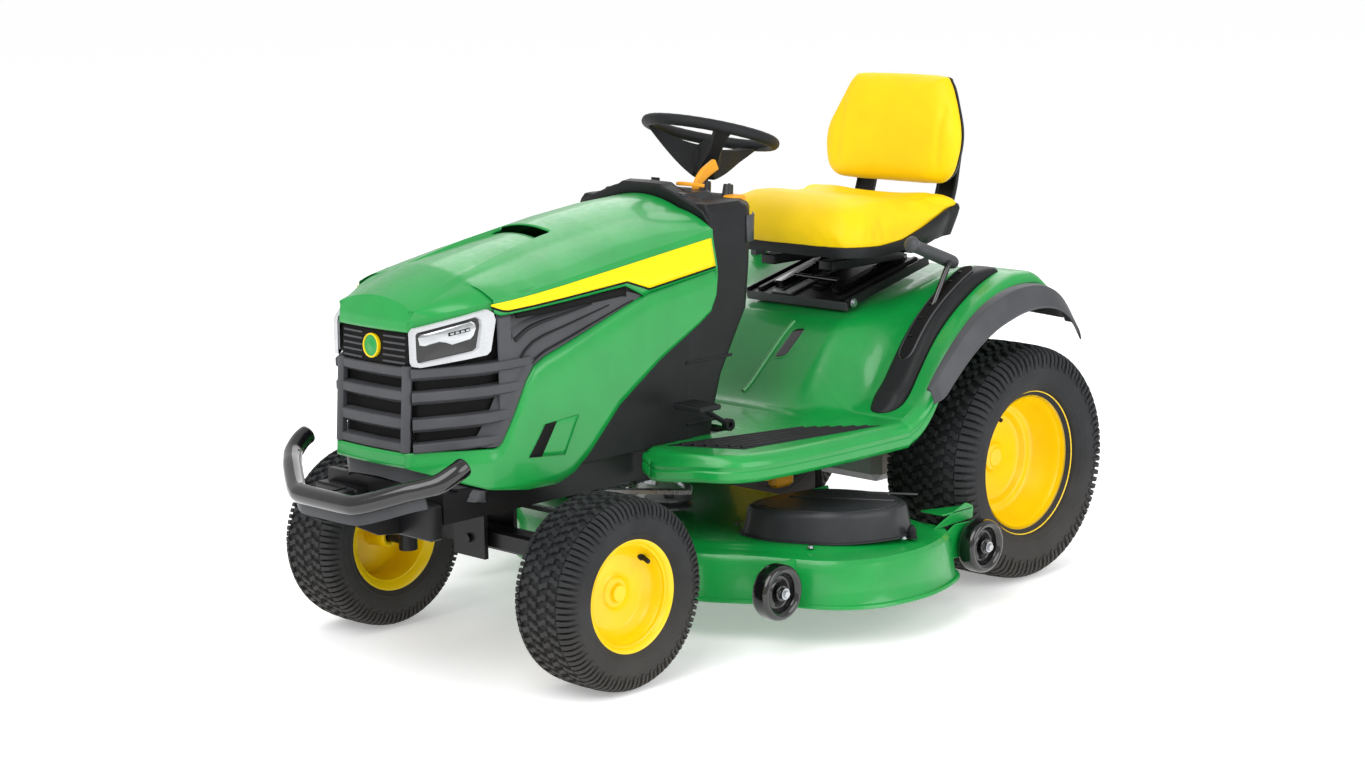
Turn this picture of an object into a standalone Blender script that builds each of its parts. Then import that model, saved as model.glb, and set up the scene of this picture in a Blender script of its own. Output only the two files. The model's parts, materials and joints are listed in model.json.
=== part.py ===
"""Riding lawn mower: a garden tractor with a three-blade deck under it.

Metres, +Z up. The front faces -Y and the driver's left is +X. Shapes are worked out about the middle of the
machine, halfway between the axles, and everything is parented to one empty that puts the middle of the whole
object's footprint at the origin.
"""

import math

import bmesh
import bpy
from mathutils import Matrix, Vector

# ---- driving dimensions ----
FOOTPRINT_MIDDLE = (-0.078, -0.083)  # of the object, from the point halfway between the axles
WHEELBASE = 1.257
FRONT_Y, REAR_Y = -WHEELBASE / 2, WHEELBASE / 2
FRONT_TYRE = {"x": 0.378, "radius": 0.2025, "width": 0.165, "bead": 0.104, "flange": 0.119}
REAR_TYRE = {"x": 0.402, "radius": 0.279, "width": 0.241, "bead": 0.157, "flange": 0.174}
GAP = 0.0005  # between solids that touch on the real machine
RUNNING = 0.0005  # round a pin in its hole

RAIL_IN, RAIL_OUT, RAIL_LOW, RAIL_TOP = 0.150, 0.186, 0.360, 0.420
HOOD_HALF, HOOD_WALL = 0.240, 0.003
HOOD_PIVOT = (0.0, -0.950, 0.420)
CRANK = (0.0, -0.450)
KINGPIN_X = 0.262
STEER_ARM = 0.0985  # kingpin to the tie rod's eye
SECTOR_Y = -0.300
WHEEL_CENTRE, WHEEL_TILT = Vector((0.0, 0.085, 1.070)), 0.2828
SHAFT_AXIS = Vector((0.0, math.sin(WHEEL_TILT), math.cos(WHEEL_TILT)))
PINION_RADIUS, SECTOR_RADIUS = 0.0326, 0.1956  # one to six, the teeth of the sector face inwards
DECK_TOP, DECK_LIP, DECK_WALL = 0.210, 0.090, 0.004
BLADES = {"blade_left": (0.405, 0.040), "blade_centre": (0.0, -0.070), "blade_right": (-0.405, 0.040)}
BLADE_LENGTH = 0.405
CHUTE_PIVOT = (-0.640, 0.0, 0.212)
LIFT_PIVOT = (0.0, 0.300, 0.4305)
LIFT_ARM, LIFT_REST = 0.090, math.radians(12)
SEAT_PIVOT = (0.0, 0.386, 0.652)
SEAT_SLOPE = math.radians(13.3)
FOOT_LEVEL = 0.433
FENDER_HALF = 0.465
PEDAL_PIVOT = (0.0, -0.130, 0.456)
THROTTLE_PIVOT = (0.090, -0.060, 0.925)
PTO_PIVOT = (0.150, -0.010, 0.905)
KEY_PIVOT = (-0.100, 0.030, 0.935)
FUEL_CAP = (-0.330, 0.600)
CONSOLE_IN, CONSOLE_OUT = 0.316, 0.408
CONSOLE_STATIONS = [0.240, 0.285, 0.335, 0.385, 0.435, 0.490, 0.560, 0.630]
LEVER_SLOT = (0.343, 0.369)

# name: (red, green, blue), roughness, metallic
FINISHES = {
    "green_paint": ((0.010, 0.230, 0.055), 0.25, 0.0),
    "black_plastic": ((0.018, 0.018, 0.020), 0.55, 0.0),
    "grey_plastic": ((0.060, 0.062, 0.066), 0.55, 0.0),
    "gloss_black": ((0.010, 0.010, 0.011), 0.15, 0.0),
    "frame_black": ((0.015, 0.015, 0.016), 0.40, 0.0),
    "yellow_paint": ((0.950, 0.680, 0.002), 0.35, 0.0),
    "yellow_vinyl": ((0.900, 0.700, 0.004), 0.50, 0.0),
    "amber_plastic": ((0.850, 0.420, 0.030), 0.40, 0.0),
    "tyre_rubber": ((0.016, 0.016, 0.017), 0.85, 0.0),
    "black_rubber": ((0.014, 0.014, 0.014), 0.80, 0.0),
    "lamp_lens": ((0.750, 0.770, 0.790), 0.10, 0.0),
    "cast_aluminium": ((0.480, 0.480, 0.480), 0.50, 1.0),
    "bright_steel": ((0.550, 0.550, 0.560), 0.35, 1.0),
    "blade_steel": ((0.250, 0.250, 0.260), 0.45, 1.0),
}

for old in list(bpy.data.objects):
    bpy.data.objects.remove(old)
mower = bpy.data.collections.new("riding_lawn_mower")
bpy.context.scene.collection.children.link(mower)
root = bpy.data.objects.new("machine_middle", None)
root.location = (-FOOTPRINT_MIDDLE[0], -FOOTPRINT_MIDDLE[1], 0.0)
mower.objects.link(root)

materials = {}
for name, (colour, roughness, metallic) in FINISHES.items():
    material = bpy.data.materials.new(name)
    material.use_nodes = True
    shader = material.node_tree.nodes["Principled BSDF"]
    shader.inputs["Base Color"].default_value = (*colour, 1.0)
    shader.inputs["Roughness"].default_value = roughness
    shader.inputs["Metallic"].default_value = metallic
    materials[name] = material


# ---- tools ----
def linked(mesh):
    solid = bpy.data.objects.new("shape", mesh)
    mower.objects.link(solid)
    return solid


def from_bmesh(bm):
    mesh = bpy.data.meshes.new("shape")
    bm.to_mesh(mesh)
    bm.free()
    return linked(mesh)


def baked(shape, weld=1e-5):
    """The object with its modifiers applied, or its curve made a mesh, closed and facing out."""
    bpy.context.view_layer.update()
    mesh = bpy.data.meshes.new_from_object(shape.evaluated_get(bpy.context.evaluated_depsgraph_get()))
    mesh.transform(shape.matrix_world)
    bm = bmesh.new()
    bm.from_mesh(mesh)
    bmesh.ops.remove_doubles(bm, verts=bm.verts, dist=weld)
    bmesh.ops.recalc_face_normals(bm, faces=bm.faces)
    bm.to_mesh(mesh)
    bm.free()
    bpy.data.objects.remove(shape)
    return linked(mesh)


def block(low, high, bevel=0.0):
    bm = bmesh.new()
    bmesh.ops.create_cube(bm, size=1.0)
    low, high = Vector(low), Vector(high)
    size = high - low
    bmesh.ops.scale(bm, vec=size, verts=bm.verts)
    bmesh.ops.translate(bm, vec=(low + high) / 2, verts=bm.verts)
    if bevel:
        bmesh.ops.bevel(bm, geom=bm.edges[:], offset=bevel, segments=1, affect="EDGES", profile=0.5)
    return from_bmesh(bm)


def rod(start, end, radius, sides=16, end_radius=None):
    """A round bar between two points, or a cone if its ends differ."""
    start, end = Vector(start), Vector(end)
    along = end - start
    bm = bmesh.new()
    bmesh.ops.create_cone(
        bm,
        cap_ends=True,
        segments=sides,
        radius1=radius,
        radius2=radius if end_radius is None else end_radius,
        depth=along.length,
    )
    turn = Vector((0, 0, 1)).rotation_difference(along).to_matrix().to_4x4()
    bmesh.ops.transform(bm, matrix=Matrix.Translation((start + end) / 2) @ turn, verts=bm.verts)
    return from_bmesh(bm)


def upright(x, y, low, high, radius, sides=20):
    return rod((x, y, low), (x, y, high), radius, sides)


def prism(outline, axis, low, high):
    """An outline extruded along an axis: (y, z) points for X, (x, z) for Y and (x, y) for Z."""
    curve = bpy.data.curves.new("outline", "CURVE")
    curve.dimensions = "2D"
    curve.fill_mode = "BOTH"
    curve.extrude = (high - low) / 2
    spline = curve.splines.new("POLY")
    spline.points.add(len(outline) - 1)
    for point, (a, b) in zip(spline.points, outline):
        point.co = (a, b, 0.0, 1.0)
    spline.use_cyclic_u = True
    shape = linked_curve(curve)
    middle = (low + high) / 2
    planes = {
        "X": (Vector((0, 1, 0)), Vector((0, 0, 1)), Vector((1, 0, 0))),
        "Y": (Vector((1, 0, 0)), Vector((0, 0, 1)), Vector((0, -1, 0))),
        "Z": (Vector((1, 0, 0)), Vector((0, 1, 0)), Vector((0, 0, 1))),
    }
    right, up, out = planes[axis]
    turn = Matrix((right, up, out)).transposed().to_4x4()
    place = out * (middle if axis != "Y" else -middle)
    shape.matrix_world = Matrix.Translation(place) @ turn
    return baked(shape)


def linked_curve(curve):
    shape = bpy.data.objects.new("shape", curve)
    mower.objects.link(shape)
    return shape


def tube(points, radius, closed=False, resolution=1):
    curve = bpy.data.curves.new("route", "CURVE")
    curve.dimensions = "3D"
    curve.bevel_depth = radius
    curve.bevel_resolution = resolution
    curve.use_fill_caps = not closed
    spline = curve.splines.new("POLY")
    spline.points.add(len(points) - 1)
    for point, place in zip(spline.points, points):
        point.co = (*place, 1.0)
    spline.use_cyclic_u = closed
    return baked(linked_curve(curve))


def turned(profile, centre, axis=(0, 0, 1), steps=32):
    """A closed (radius, height) profile turned about an axis through centre."""
    mesh = bpy.data.meshes.new("profile")
    count = len(profile)
    mesh.from_pydata([(r, 0.0, h) for r, h in profile], [(i, (i + 1) % count) for i in range(count)], [])
    shape = linked(mesh)
    screw = shape.modifiers.new("Screw", "SCREW")
    screw.steps = screw.render_steps = steps
    screw.use_merge_vertices = True
    screw.merge_threshold = 0.00001
    turn = Vector((0, 0, 1)).rotation_difference(Vector(axis)).to_matrix().to_4x4()
    shape.matrix_world = Matrix.Translation(centre) @ turn
    return baked(shape)


def loft(sections):
    """A closed solid through rings of equal length."""
    count = len(sections[0])
    verts = [point for ring in sections for point in ring]
    faces = [list(range(count)), list(range(len(verts) - count, len(verts)))]
    for s in range(len(sections) - 1):
        for i in range(count):
            j = (i + 1) % count
            faces.append([s * count + i, s * count + j, (s + 1) * count + j, (s + 1) * count + i])
    mesh = bpy.data.meshes.new("loft")
    mesh.from_pydata(verts, [], faces)
    return baked(linked(mesh))


def shell(verts, faces, thickness, offset=-1.0):
    """An open surface given a wall."""
    mesh = bpy.data.meshes.new("surface")
    mesh.from_pydata(verts, [], faces)
    bm = bmesh.new()
    bm.from_mesh(mesh)
    bmesh.ops.remove_doubles(bm, verts=bm.verts, dist=1e-5)
    bmesh.ops.recalc_face_normals(bm, faces=bm.faces)
    bm.to_mesh(mesh)
    bm.free()
    shape = linked(mesh)
    solidify = shape.modifiers.new("Solidify", "SOLIDIFY")
    solidify.thickness = thickness
    solidify.offset = offset
    return baked(shape)


def boolean(base, others, operation):
    for other in others:
        modifier = base.modifiers.new("Boolean", "BOOLEAN")
        modifier.operation = operation
        modifier.solver = "MANIFOLD"  # the exact solver leaves open edges where flush faces meet
        modifier.object = other
    result = baked(base, 1e-7)
    for other in others:
        bpy.data.objects.remove(other)
    return result


def unite(base, *others):
    return boolean(base, others, "UNION")


def cut(base, *others):
    return boolean(base, others, "DIFFERENCE")


def mirrored(shape):
    mesh = shape.data.copy()
    mesh.transform(Matrix.Scale(-1, 4, (1, 0, 0)))
    mesh.flip_normals()
    return linked(mesh)


def turned_about(shape, centre, axis, angle):
    centre = Vector(centre)
    turn = Matrix.Rotation(angle, 4, Vector(axis))
    shape.data.transform(Matrix.Translation(centre) @ turn @ Matrix.Translation(-centre))
    return shape


def both(shape):
    """A shape united with its mirror image."""
    return unite(shape, mirrored(shape))


def both_apart(shape):
    return [shape, mirrored(shape)]


def part(name, solid, finish, pivot=(0.0, 0.0, 0.0)):
    """Names a solid, gives it its finish and puts its origin on its pivot."""
    pivot = Vector(pivot)
    solid.name = name
    solid.data.name = name
    solid.data.transform(Matrix.Translation(-pivot))
    solid.location = pivot
    solid.parent = root
    solid.data.materials.clear()
    solid.data.materials.append(materials[finish])
    solid.data.shade_smooth()
    solid.data.set_sharp_from_angle(angle=math.radians(35))
    return solid


def smoothstep(t):
    t = min(max(t, 0.0), 1.0)
    return t * t * (3 - 2 * t)


def shaft_point(z):
    """A point on the steering shaft's axis."""
    return WHEEL_CENTRE + SHAFT_AXIS * ((z - WHEEL_CENTRE.z) / SHAFT_AXIS.z)


# ---- chassis, engine and drive ----
def chassis_frame():
    front, rear = -0.900, 0.800
    frame = unite(
        both(block((RAIL_IN, front, RAIL_LOW), (RAIL_OUT, rear, RAIL_TOP))),
        block((-RAIL_OUT, -0.860, 0.416), (RAIL_OUT, -0.280, 0.424)),  # engine plate
        block((-RAIL_OUT, front, RAIL_LOW), (RAIL_OUT, front + 0.014, 0.428)),
        block((-RAIL_OUT, rear - 0.014, 0.290), (RAIL_OUT, rear, RAIL_TOP)),
        block((-0.050, rear - 0.010, 0.290), (0.050, 0.870, 0.300)),  # drawbar tongue
        block((-0.160, -0.200, 0.405), (0.160, -0.060, 0.419)),  # column plate
        block((-0.160, SECTOR_Y - 0.030, 0.345), (0.160, SECTOR_Y + 0.030, 0.362)),
        block((-0.160, 0.340, 0.408), (0.160, 0.680, 0.419)),  # tank and battery tray
    )
    hangers = [
        block((-0.050, FRONT_Y - 0.047, 0.222), (0.050, FRONT_Y - 0.037, 0.420)),
        block((-0.050, FRONT_Y + 0.037, 0.222), (0.050, FRONT_Y + 0.047, 0.420)),
    ]
    bolt = rod((0, FRONT_Y - 0.055, 0.262), (0, FRONT_Y + 0.055, 0.262), 0.010)
    sector_pin = upright(0, SECTOR_Y, 0.2920, 0.350, 0.008)
    bearing = block((RAIL_IN, LIFT_PIVOT[1] - 0.020, 0.415), (RAIL_OUT, LIFT_PIVOT[1] + 0.020, 0.447))
    frame = unite(frame, *hangers, bolt, sector_pin, both(bearing))
    holes = [
        upright(CRANK[0], CRANK[1], 0.40, 0.45, 0.060),
        rod(shaft_point(0.38), shaft_point(0.46), 0.018),
        rod((-0.25, *LIFT_PIVOT[1:]), (0.25, *LIFT_PIVOT[1:]), 0.008 + RUNNING, 12),
        upright(0, 0.845, 0.28, 0.31, 0.010),
    ]
    part("chassis_frame", cut(frame, *holes), "frame_black")


def engine():
    x, y = CRANK
    base = 0.424 + GAP
    heads = []
    for side in (-1, 1):
        head = block((x - 0.052, y - 0.215, 0.462), (x + 0.052, y - 0.060, 0.572), 0.008)
        heads.append(turned_about(head, (x, y, 0), (0, 0, 1), side * math.radians(42)))
    case = turned(
        [(0.0, 0.600), (0.105, 0.600), (0.105, 0.446), (0.125, 0.446), (0.125, base), (0.0, base)],
        (x, y, 0),
        steps=24,
    )
    case = cut(unite(case, *heads), upright(x, y, 0.40, 0.480, 0.0125 + RUNNING, 16))
    part("engine_block", case, "cast_aluminium")
    shroud = turned(
        [(0.0, 0.720), (0.075, 0.718), (0.130, 0.705), (0.160, 0.680), (0.165, 0.601), (0.0, 0.601)],
        (x, y, 0),
        steps=28,
    )
    cleaner = block((-0.085, y + 0.060, 0.640), (0.085, y + 0.190, 0.775), 0.015)
    part("engine_shroud", unite(shroud, cleaner), "black_plastic")
    pulley = turned(
        [
            (0.0, 0.475),
            (0.0125, 0.475),
            (0.0125, 0.400),
            (0.055, 0.400),
            (0.055, 0.394),
            (0.044, 0.385),
            (0.055, 0.376),
            (0.055, 0.366),
            (0.044, 0.357),
            (0.055, 0.348),
            (0.055, 0.340),
            (0.0, 0.340),
        ],
        (x, y, 0),
        steps=24,
    )
    part("engine_pulley", pulley, "bright_steel", (x, y, 0.37))
    can = rod((-0.140, -0.745, 0.490), (0.140, -0.745, 0.490), 0.048, 20)
    pipes = [rod((s * 0.095, -0.745, 0.500), (s * 0.106, -0.662, 0.512), 0.014, 10) for s in (-1, 1)]
    part("muffler", unite(can, *pipes), "bright_steel")


def tank_and_battery():
    bottom = RAIL_TOP + 0.001
    body = block((-0.140, 0.325, bottom), (0.140, 0.475, 0.590), 0.012)
    cap_x, cap_y = FUEL_CAP
    neck = tube(
        [(-0.110, 0.420, 0.560), (-0.180, 0.470, 0.575), (-0.270, 0.545, 0.600), (cap_x, cap_y, 0.640), (cap_x, cap_y, 0.738)],
        0.020,
    )
    part("fuel_tank", unite(body, neck), "grey_plastic")
    cap = turned(
        [(0.0, 0.772), (0.030, 0.772), (0.038, 0.764), (0.038, 0.745), (0.0, 0.745)],
        (cap_x, cap_y, 0),
        steps=24,
    )
    part("fuel_cap", cap, "black_plastic", (cap_x, cap_y, 0.745))
    case = block((-0.095, 0.500, bottom), (0.095, 0.650, 0.590), 0.006)
    posts = [upright(s * 0.060, 0.530, 0.585, 0.602, 0.008, 12) for s in (-1, 1)]
    part("battery", unite(case, *posts), "black_plastic")


def transaxle():
    z = REAR_TYRE["radius"]
    case = block((-0.120, REAR_Y - 0.100, 0.190), (0.120, REAR_Y + 0.100, RAIL_LOW - GAP), 0.020)
    trumpets = rod((-0.255, REAR_Y, z), (0.255, REAR_Y, z), 0.036, 20)
    stubs = rod((-0.380, REAR_Y, z), (0.380, REAR_Y, z), 0.0125, 16)
    part("transaxle", unite(case, trumpets, stubs), "cast_aluminium")


# ---- wheels ----
def tyre_profile(size):
    """A carcass open at the bead, as (radius, across) points."""
    r, half, bead = size["radius"], size["width"] / 2, size["bead"]
    wall = 0.010
    seat = half - 0.0245
    shoulder = r - 0.022
    outside = [
        (bead, seat),
        (size["flange"] + 0.006, seat),
        ((size["flange"] + r) / 2, half),
        (shoulder, half - 0.004),
        (r, half * 0.62),
    ]
    inside = [(r - wall, half * 0.50), (bead, seat - 0.012)]
    under = [(a, -b) for a, b in reversed(outside)]
    back = [(a, -b) for a, b in inside[::-1]]
    front = list(inside)
    return outside + under + back + front


def rim_profile(size, disc, bore, hub, hub_in):
    """A rim and its dished disc with a blind hub, as (radius, across) points, the outside face first."""
    barrel, flange = size["bead"] - 0.0025, size["flange"]
    lip = size["width"] / 2 - 0.0215
    return [
        (0.0, disc + 0.012),
        (hub, disc + 0.012),
        (hub + 0.012, disc + 0.002),
        (barrel - 0.030, disc + 0.002),
        (barrel - 0.012, lip - 0.004),
        (flange, lip + 0.007),
        (barrel, lip - 0.002),
        (barrel, -lip + 0.002),
        (flange, -lip - 0.007),
        (barrel - 0.012, disc - 0.010),
        (hub, disc - 0.004),
        (hub, hub_in),
        (bore, hub_in),
        (bore, disc + 0.004),
        (0.0, disc + 0.004),
    ]


def wheels():
    for end, y, size, stub, bore, hub in (
        ("front", FRONT_Y, FRONT_TYRE, 0.0095, 0.010, 0.022),
        ("rear", REAR_Y, REAR_TYRE, 0.0125, 0.013, 0.034),
    ):
        for side, sign in (("left", 1), ("right", -1)):
            centre = (sign * size["x"], y, size["radius"])
            steps = 24 if end == "rear" else 20
            tyre = turned(tyre_profile(size), centre, (sign, 0, 0), steps)
            part(f"{end}_tyre_{side}", tyre, "tyre_rubber", centre)
            disc, hub_in = (0.010, -0.060) if end == "front" else (-0.020, -0.130)
            rim = turned(rim_profile(size, disc, bore, hub, hub_in), centre, (sign, 0, 0), 16)
            part(f"{end}_rim_{side}", rim, "yellow_paint", centre)


# ---- front axle and steering ----
def front_axle():
    z = 0.262
    beam = block((-KINGPIN_X + 0.010, FRONT_Y - 0.026, z - 0.022), (KINGPIN_X - 0.010, FRONT_Y + 0.026, z + 0.022), 0.006)
    bosses = [upright(s * KINGPIN_X, FRONT_Y, 0.232, 0.292, 0.022) for s in (-1, 1)]
    holes = [upright(s * KINGPIN_X, FRONT_Y, 0.22, 0.30, 0.0095 + RUNNING, 16) for s in (-1, 1)]
    pivot = rod((0, FRONT_Y - 0.04, z), (0, FRONT_Y + 0.04, z), 0.010 + RUNNING)
    axle = cut(unite(beam, *bosses), pivot, *holes)
    part("front_axle", axle, "frame_black", (0, FRONT_Y, z))


def spindles():
    """Kingpin, stub axle and steering arm, one piece on each side."""
    wheel_z = FRONT_TYRE["radius"]
    arm_low, arm_top = 0.2945, 0.3035
    pin = upright(KINGPIN_X, FRONT_Y, wheel_z, 0.300, 0.0095, 16)
    knuckle = upright(KINGPIN_X, FRONT_Y, 0.185, 0.2275, 0.021)
    stub = rod((KINGPIN_X, FRONT_Y, wheel_z), (0.384, FRONT_Y, wheel_z), 0.0095)
    arm = block((KINGPIN_X - 0.014, FRONT_Y - 0.020, arm_low), (KINGPIN_X + 0.014, FRONT_Y + STEER_ARM + 0.014, arm_top))
    ball = upright(KINGPIN_X, FRONT_Y + STEER_ARM, 0.2595, 0.319, 0.004, 10)
    left = unite(pin, knuckle, stub, arm, ball)
    part("spindle_right", mirrored(left), "frame_black", (-KINGPIN_X, FRONT_Y, 0.262))
    part("spindle_left", left, "frame_black", (KINGPIN_X, FRONT_Y, 0.262))


def eye_rod(start, end, low, high, eye=0.012, hole=0.0055, bar=0.012):
    """A flat-ended steering rod with an eye at each end. Only the first end is always drilled."""
    start, end = Vector((*start, 0)), Vector((*end, 0))
    along = (end - start).normalized()
    across = Vector((-along.y, along.x, 0)) * bar / 2
    outline = [start - across, end - across, end + across, start + across]
    body = prism([(p.x, p.y) for p in outline], "Z", low, high)
    body = unite(body, upright(*start.xy, low, high, eye), upright(*end.xy, low, high, eye))
    return cut(body, *[upright(*p.xy, low - 0.01, high + 0.01, hole, 12) for p in (start, end)])


def steering_rods():
    y = FRONT_Y + STEER_ARM
    tie = eye_rod((KINGPIN_X, y), (-KINGPIN_X, y), 0.3065, 0.3165)
    part("tie_rod", tie, "bright_steel", (KINGPIN_X, y, 0.311))
    drag = eye_rod((KINGPIN_X, y), (0.0, SECTOR_Y + STEER_ARM), 0.2620, 0.2700)
    part("drag_link", drag, "bright_steel", (KINGPIN_X, y, 0.266))


def steering_sector():
    """A window plate on the chassis pin, with teeth inside its rear arc."""
    low, high = 0.2945, 0.3035
    spread, teeth = math.radians(54), 15
    outer = SECTOR_RADIUS + 0.020
    steps = 10

    def at(radius, angle):
        return (radius * math.sin(angle), SECTOR_Y + radius * math.cos(angle))

    arc = [at(outer, -spread + 2 * spread * i / steps) for i in range(steps + 1)]
    inner = []
    for i in range(2 * teeth + 1):
        radius = SECTOR_RADIUS + (0.004 if i % 2 else 0.0005)
        inner.append(at(radius, spread - 2 * spread * i / (2 * teeth)))
    rim = prism(arc + inner, "Z", low, high)
    spokes = []
    for side in (-1, 1):
        tip = at(SECTOR_RADIUS + 0.012, side * (spread - 0.045))
        bar = Vector((tip[0], tip[1] - SECTOR_Y)).normalized()
        across = Vector((-bar.y, bar.x)) * 0.010
        outline = [(-across.x, SECTOR_Y - across.y), (tip[0] - across.x, tip[1] - across.y)]
        outline += [(tip[0] + across.x, tip[1] + across.y), (across.x, SECTOR_Y + across.y)]
        spokes.append(prism(outline, "Z", low, high))
    hub = upright(0, SECTOR_Y, low, high, 0.028)
    arm = block((-0.012, SECTOR_Y, low), (0.012, SECTOR_Y + STEER_ARM + 0.010, high))
    plate = cut(unite(rim, *spokes, hub, arm), upright(0, SECTOR_Y, 0.28, 0.32, 0.008 + RUNNING))
    stud = upright(0, SECTOR_Y + STEER_ARM, 0.2595, 0.300, 0.004, 10)
    part("steering_sector", unite(plate, stud), "bright_steel", (0, SECTOR_Y, 0.299))


def steering_wheel():
    radius, grip = 0.146, 0.014
    turn = Vector((0, 0, 1)).rotation_difference(SHAFT_AXIS).to_matrix().to_4x4()
    place = Matrix.Translation(WHEEL_CENTRE) @ turn
    rim = tube([(radius * math.cos(a), radius * math.sin(a), 0) for a in (math.tau * i / 26 for i in range(26))], grip, True, 1)
    spokes = []
    for angle in (math.radians(90), math.radians(215), math.radians(325)):
        out = Vector((math.cos(angle), math.sin(angle), 0))
        route = [out * 0.022 + Vector((0, 0, -0.072)), out * 0.060 + Vector((0, 0, -0.040)), out * 0.110 + Vector((0, 0, -0.010)), out * radius]
        spokes.append(tube(route, 0.010))
    hub = rod((0, 0, -0.100), (0, 0, -0.042), 0.030, 20, 0.040)
    wheel = unite(rim, *spokes, hub)
    wheel = cut(wheel, rod((0, 0, -0.110), (0, 0, -0.060), 0.0100 + GAP))
    wheel.data.transform(place)
    part("steering_wheel", wheel, "black_rubber", WHEEL_CENTRE)
    low = shaft_point(0.290)
    shaft = rod(low, WHEEL_CENTRE - SHAFT_AXIS * 0.062, 0.0100)
    pinion_centre = shaft_point(0.299)
    count = 5
    points = []
    for i in range(4 * count):
        a = math.tau * i / (4 * count)
        r = 0.0285 if i % 4 < 2 else 0.0245
        points.append((r * math.cos(a), r * math.sin(a)))
    pinion = prism(points, "Z", -0.010, 0.010)
    pinion.data.transform(Matrix.Translation(pinion_centre) @ turn)
    part("steering_shaft", unite(shaft, pinion), "bright_steel", pinion_centre)


# ---- hood ----
def ridge_height(y):
    """The height of the crease on each side of the hood's flat top."""
    return 0.942 - 0.105 * ((-0.214 - y) / 0.553) - 0.050 * max(0.0, (-0.60 - y) / 0.30) ** 1.5


HOOD_PLAN = [  # x, y, lower edge, stripe, shoulder x, shoulder height, ridge x, ridge y
    (0.000, -0.934, 0.472, 0.747, 0.000, 0.750, 0.000, -0.903),
    (0.060, -0.932, 0.472, 0.747, 0.060, 0.750, 0.060, -0.903),
    (0.111, -0.926, 0.472, 0.747, 0.109, 0.752, 0.118, -0.900),
    (0.165, -0.865, 0.440, 0.762, 0.158, 0.772, 0.120, -0.860),
    (0.215, -0.795, 0.412, 0.785, 0.206, 0.797, 0.120, -0.790),
    (0.237, -0.710, 0.405, 0.785, 0.224, 0.812, 0.120, -0.710),
    (0.240, -0.630, 0.407, 0.789, 0.227, 0.823, 0.120, -0.630),
    (0.240, -0.540, 0.454, 0.795, 0.228, 0.836, 0.120, -0.540),
    (0.240, -0.450, 0.547, 0.802, 0.228, 0.848, 0.120, -0.450),
    (0.240, -0.360, 0.610, 0.808, 0.228, 0.860, 0.120, -0.360),
    (0.240, -0.280, 0.655, 0.813, 0.228, 0.871, 0.120, -0.280),
    (0.240, -0.210, 0.700, 0.818, 0.228, 0.881, 0.120, -0.210),
    (0.240, -0.145, 0.760, 0.824, 0.228, 0.890, 0.120, -0.145),
]


def hood_surface():
    """The left half of the hood as rows from the lower edge up over the ridge to the middle, then mirrored."""
    verts, faces = [], []
    rows = 8
    for x, y, low, stripe, shoulder_x, shoulder, ridge_x, ridge_y in HOOD_PLAN:
        lean = 0.012 if y < -0.85 else 0.0
        ridge = 0.789 if ridge_y < -0.895 else ridge_height(ridge_y)
        column = [
            (x, y, low),
            (x, y + lean * 0.4, low + (stripe - low) * 0.35),
            (x, y + lean * 0.8, low + (stripe - low) * 0.70),
            (x, y + lean, stripe),
            (shoulder_x, (y + lean) * 0.7 + ridge_y * 0.3, shoulder),
            (ridge_x, ridge_y, ridge),
            (ridge_x * 0.5, ridge_y, ridge + 0.010),
            (0.0, ridge_y, ridge + 0.013),
        ]
        verts += column
    for c in range(len(HOOD_PLAN) - 1):
        for r in range(rows - 1):
            a = c * rows + r
            faces.append([a, a + rows, a + rows + 1, a + 1])
    return verts, faces


def hood():
    verts, faces = hood_surface()
    count = len(verts)
    faces = faces + [[count + i for i in reversed(face)] for face in faces]
    verts = verts + [(-x, y, z) for x, y, z in verts]
    skin = shell(verts, faces, HOOD_WALL)
    skin = cut(skin, *hood_openings())
    arm = prism(
        [(-0.930, 0.470), (-0.905, 0.490), (-0.900, 0.478), (-0.937, 0.418), (-0.950, 0.408), (-0.962, 0.420), (-0.955, 0.432)],
        "X",
        0.088,
        0.100,
    )
    barrels = both_apart(arm)
    skin = unite(skin, *barrels)
    pin = rod((-0.2, *HOOD_PIVOT[1:]), (0.2, *HOOD_PIVOT[1:]), 0.005 + RUNNING, 12)
    part("hood_shell", cut(skin, pin), "green_paint", HOOD_PIVOT)


def opening_plan(out, back):
    """The plan of the front opening, from the middle of the nose round the angled corner."""
    return [
        (0.0, -0.945 - out),
        (0.113, -0.945 - out),
        (0.232 + out, -0.788),
        (0.232 + out, -0.770),
        (0.180, -0.770 + back),
        (0.0, -0.770 + back),
    ]


def hood_openings():
    grille_hole = prism(plan_both(opening_plan(0.02, 0.0)), "Z", 0.502, 0.746)
    lamp = prism([(0.120, -0.950), (0.250, -0.800), (0.250, -0.772), (0.150, -0.772), (0.120, -0.80)], "Z", 0.74, 0.775)
    return [grille_hole, *both_apart(lamp)]


def plan_both(points):
    return points + [(-x, y) for x, y in reversed(points) if x > 0]


def grille_plan(inset, depth):
    front = [(0.0, -0.925), (0.105, -0.922), (0.162, -0.860), (0.210, -0.795)]
    points = [(max(x - inset, 0.0), y + inset) for x, y in front]
    back = [(max(x - inset - depth, 0.0), y + inset + depth * 0.8) for x, y in reversed(front)]
    return points + back


def grille():
    low, high = 0.5035, 0.7445
    frame = prism(plan_both(grille_plan(0.008, 0.020)), "Z", low, high)
    slats = []
    for i in range(5):
        z = 0.520 + 0.036 * i
        slats.append(prism(plan_both(grille_plan(0.001, 0.020)), "Z", z, z + 0.020))
    solid = unite(frame, *slats)
    lamp_bays = both_apart(block((0.118, -0.95, 0.6985), (0.25, -0.70, 0.80)))
    part("grille", cut(solid, *lamp_bays), "black_plastic")


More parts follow.
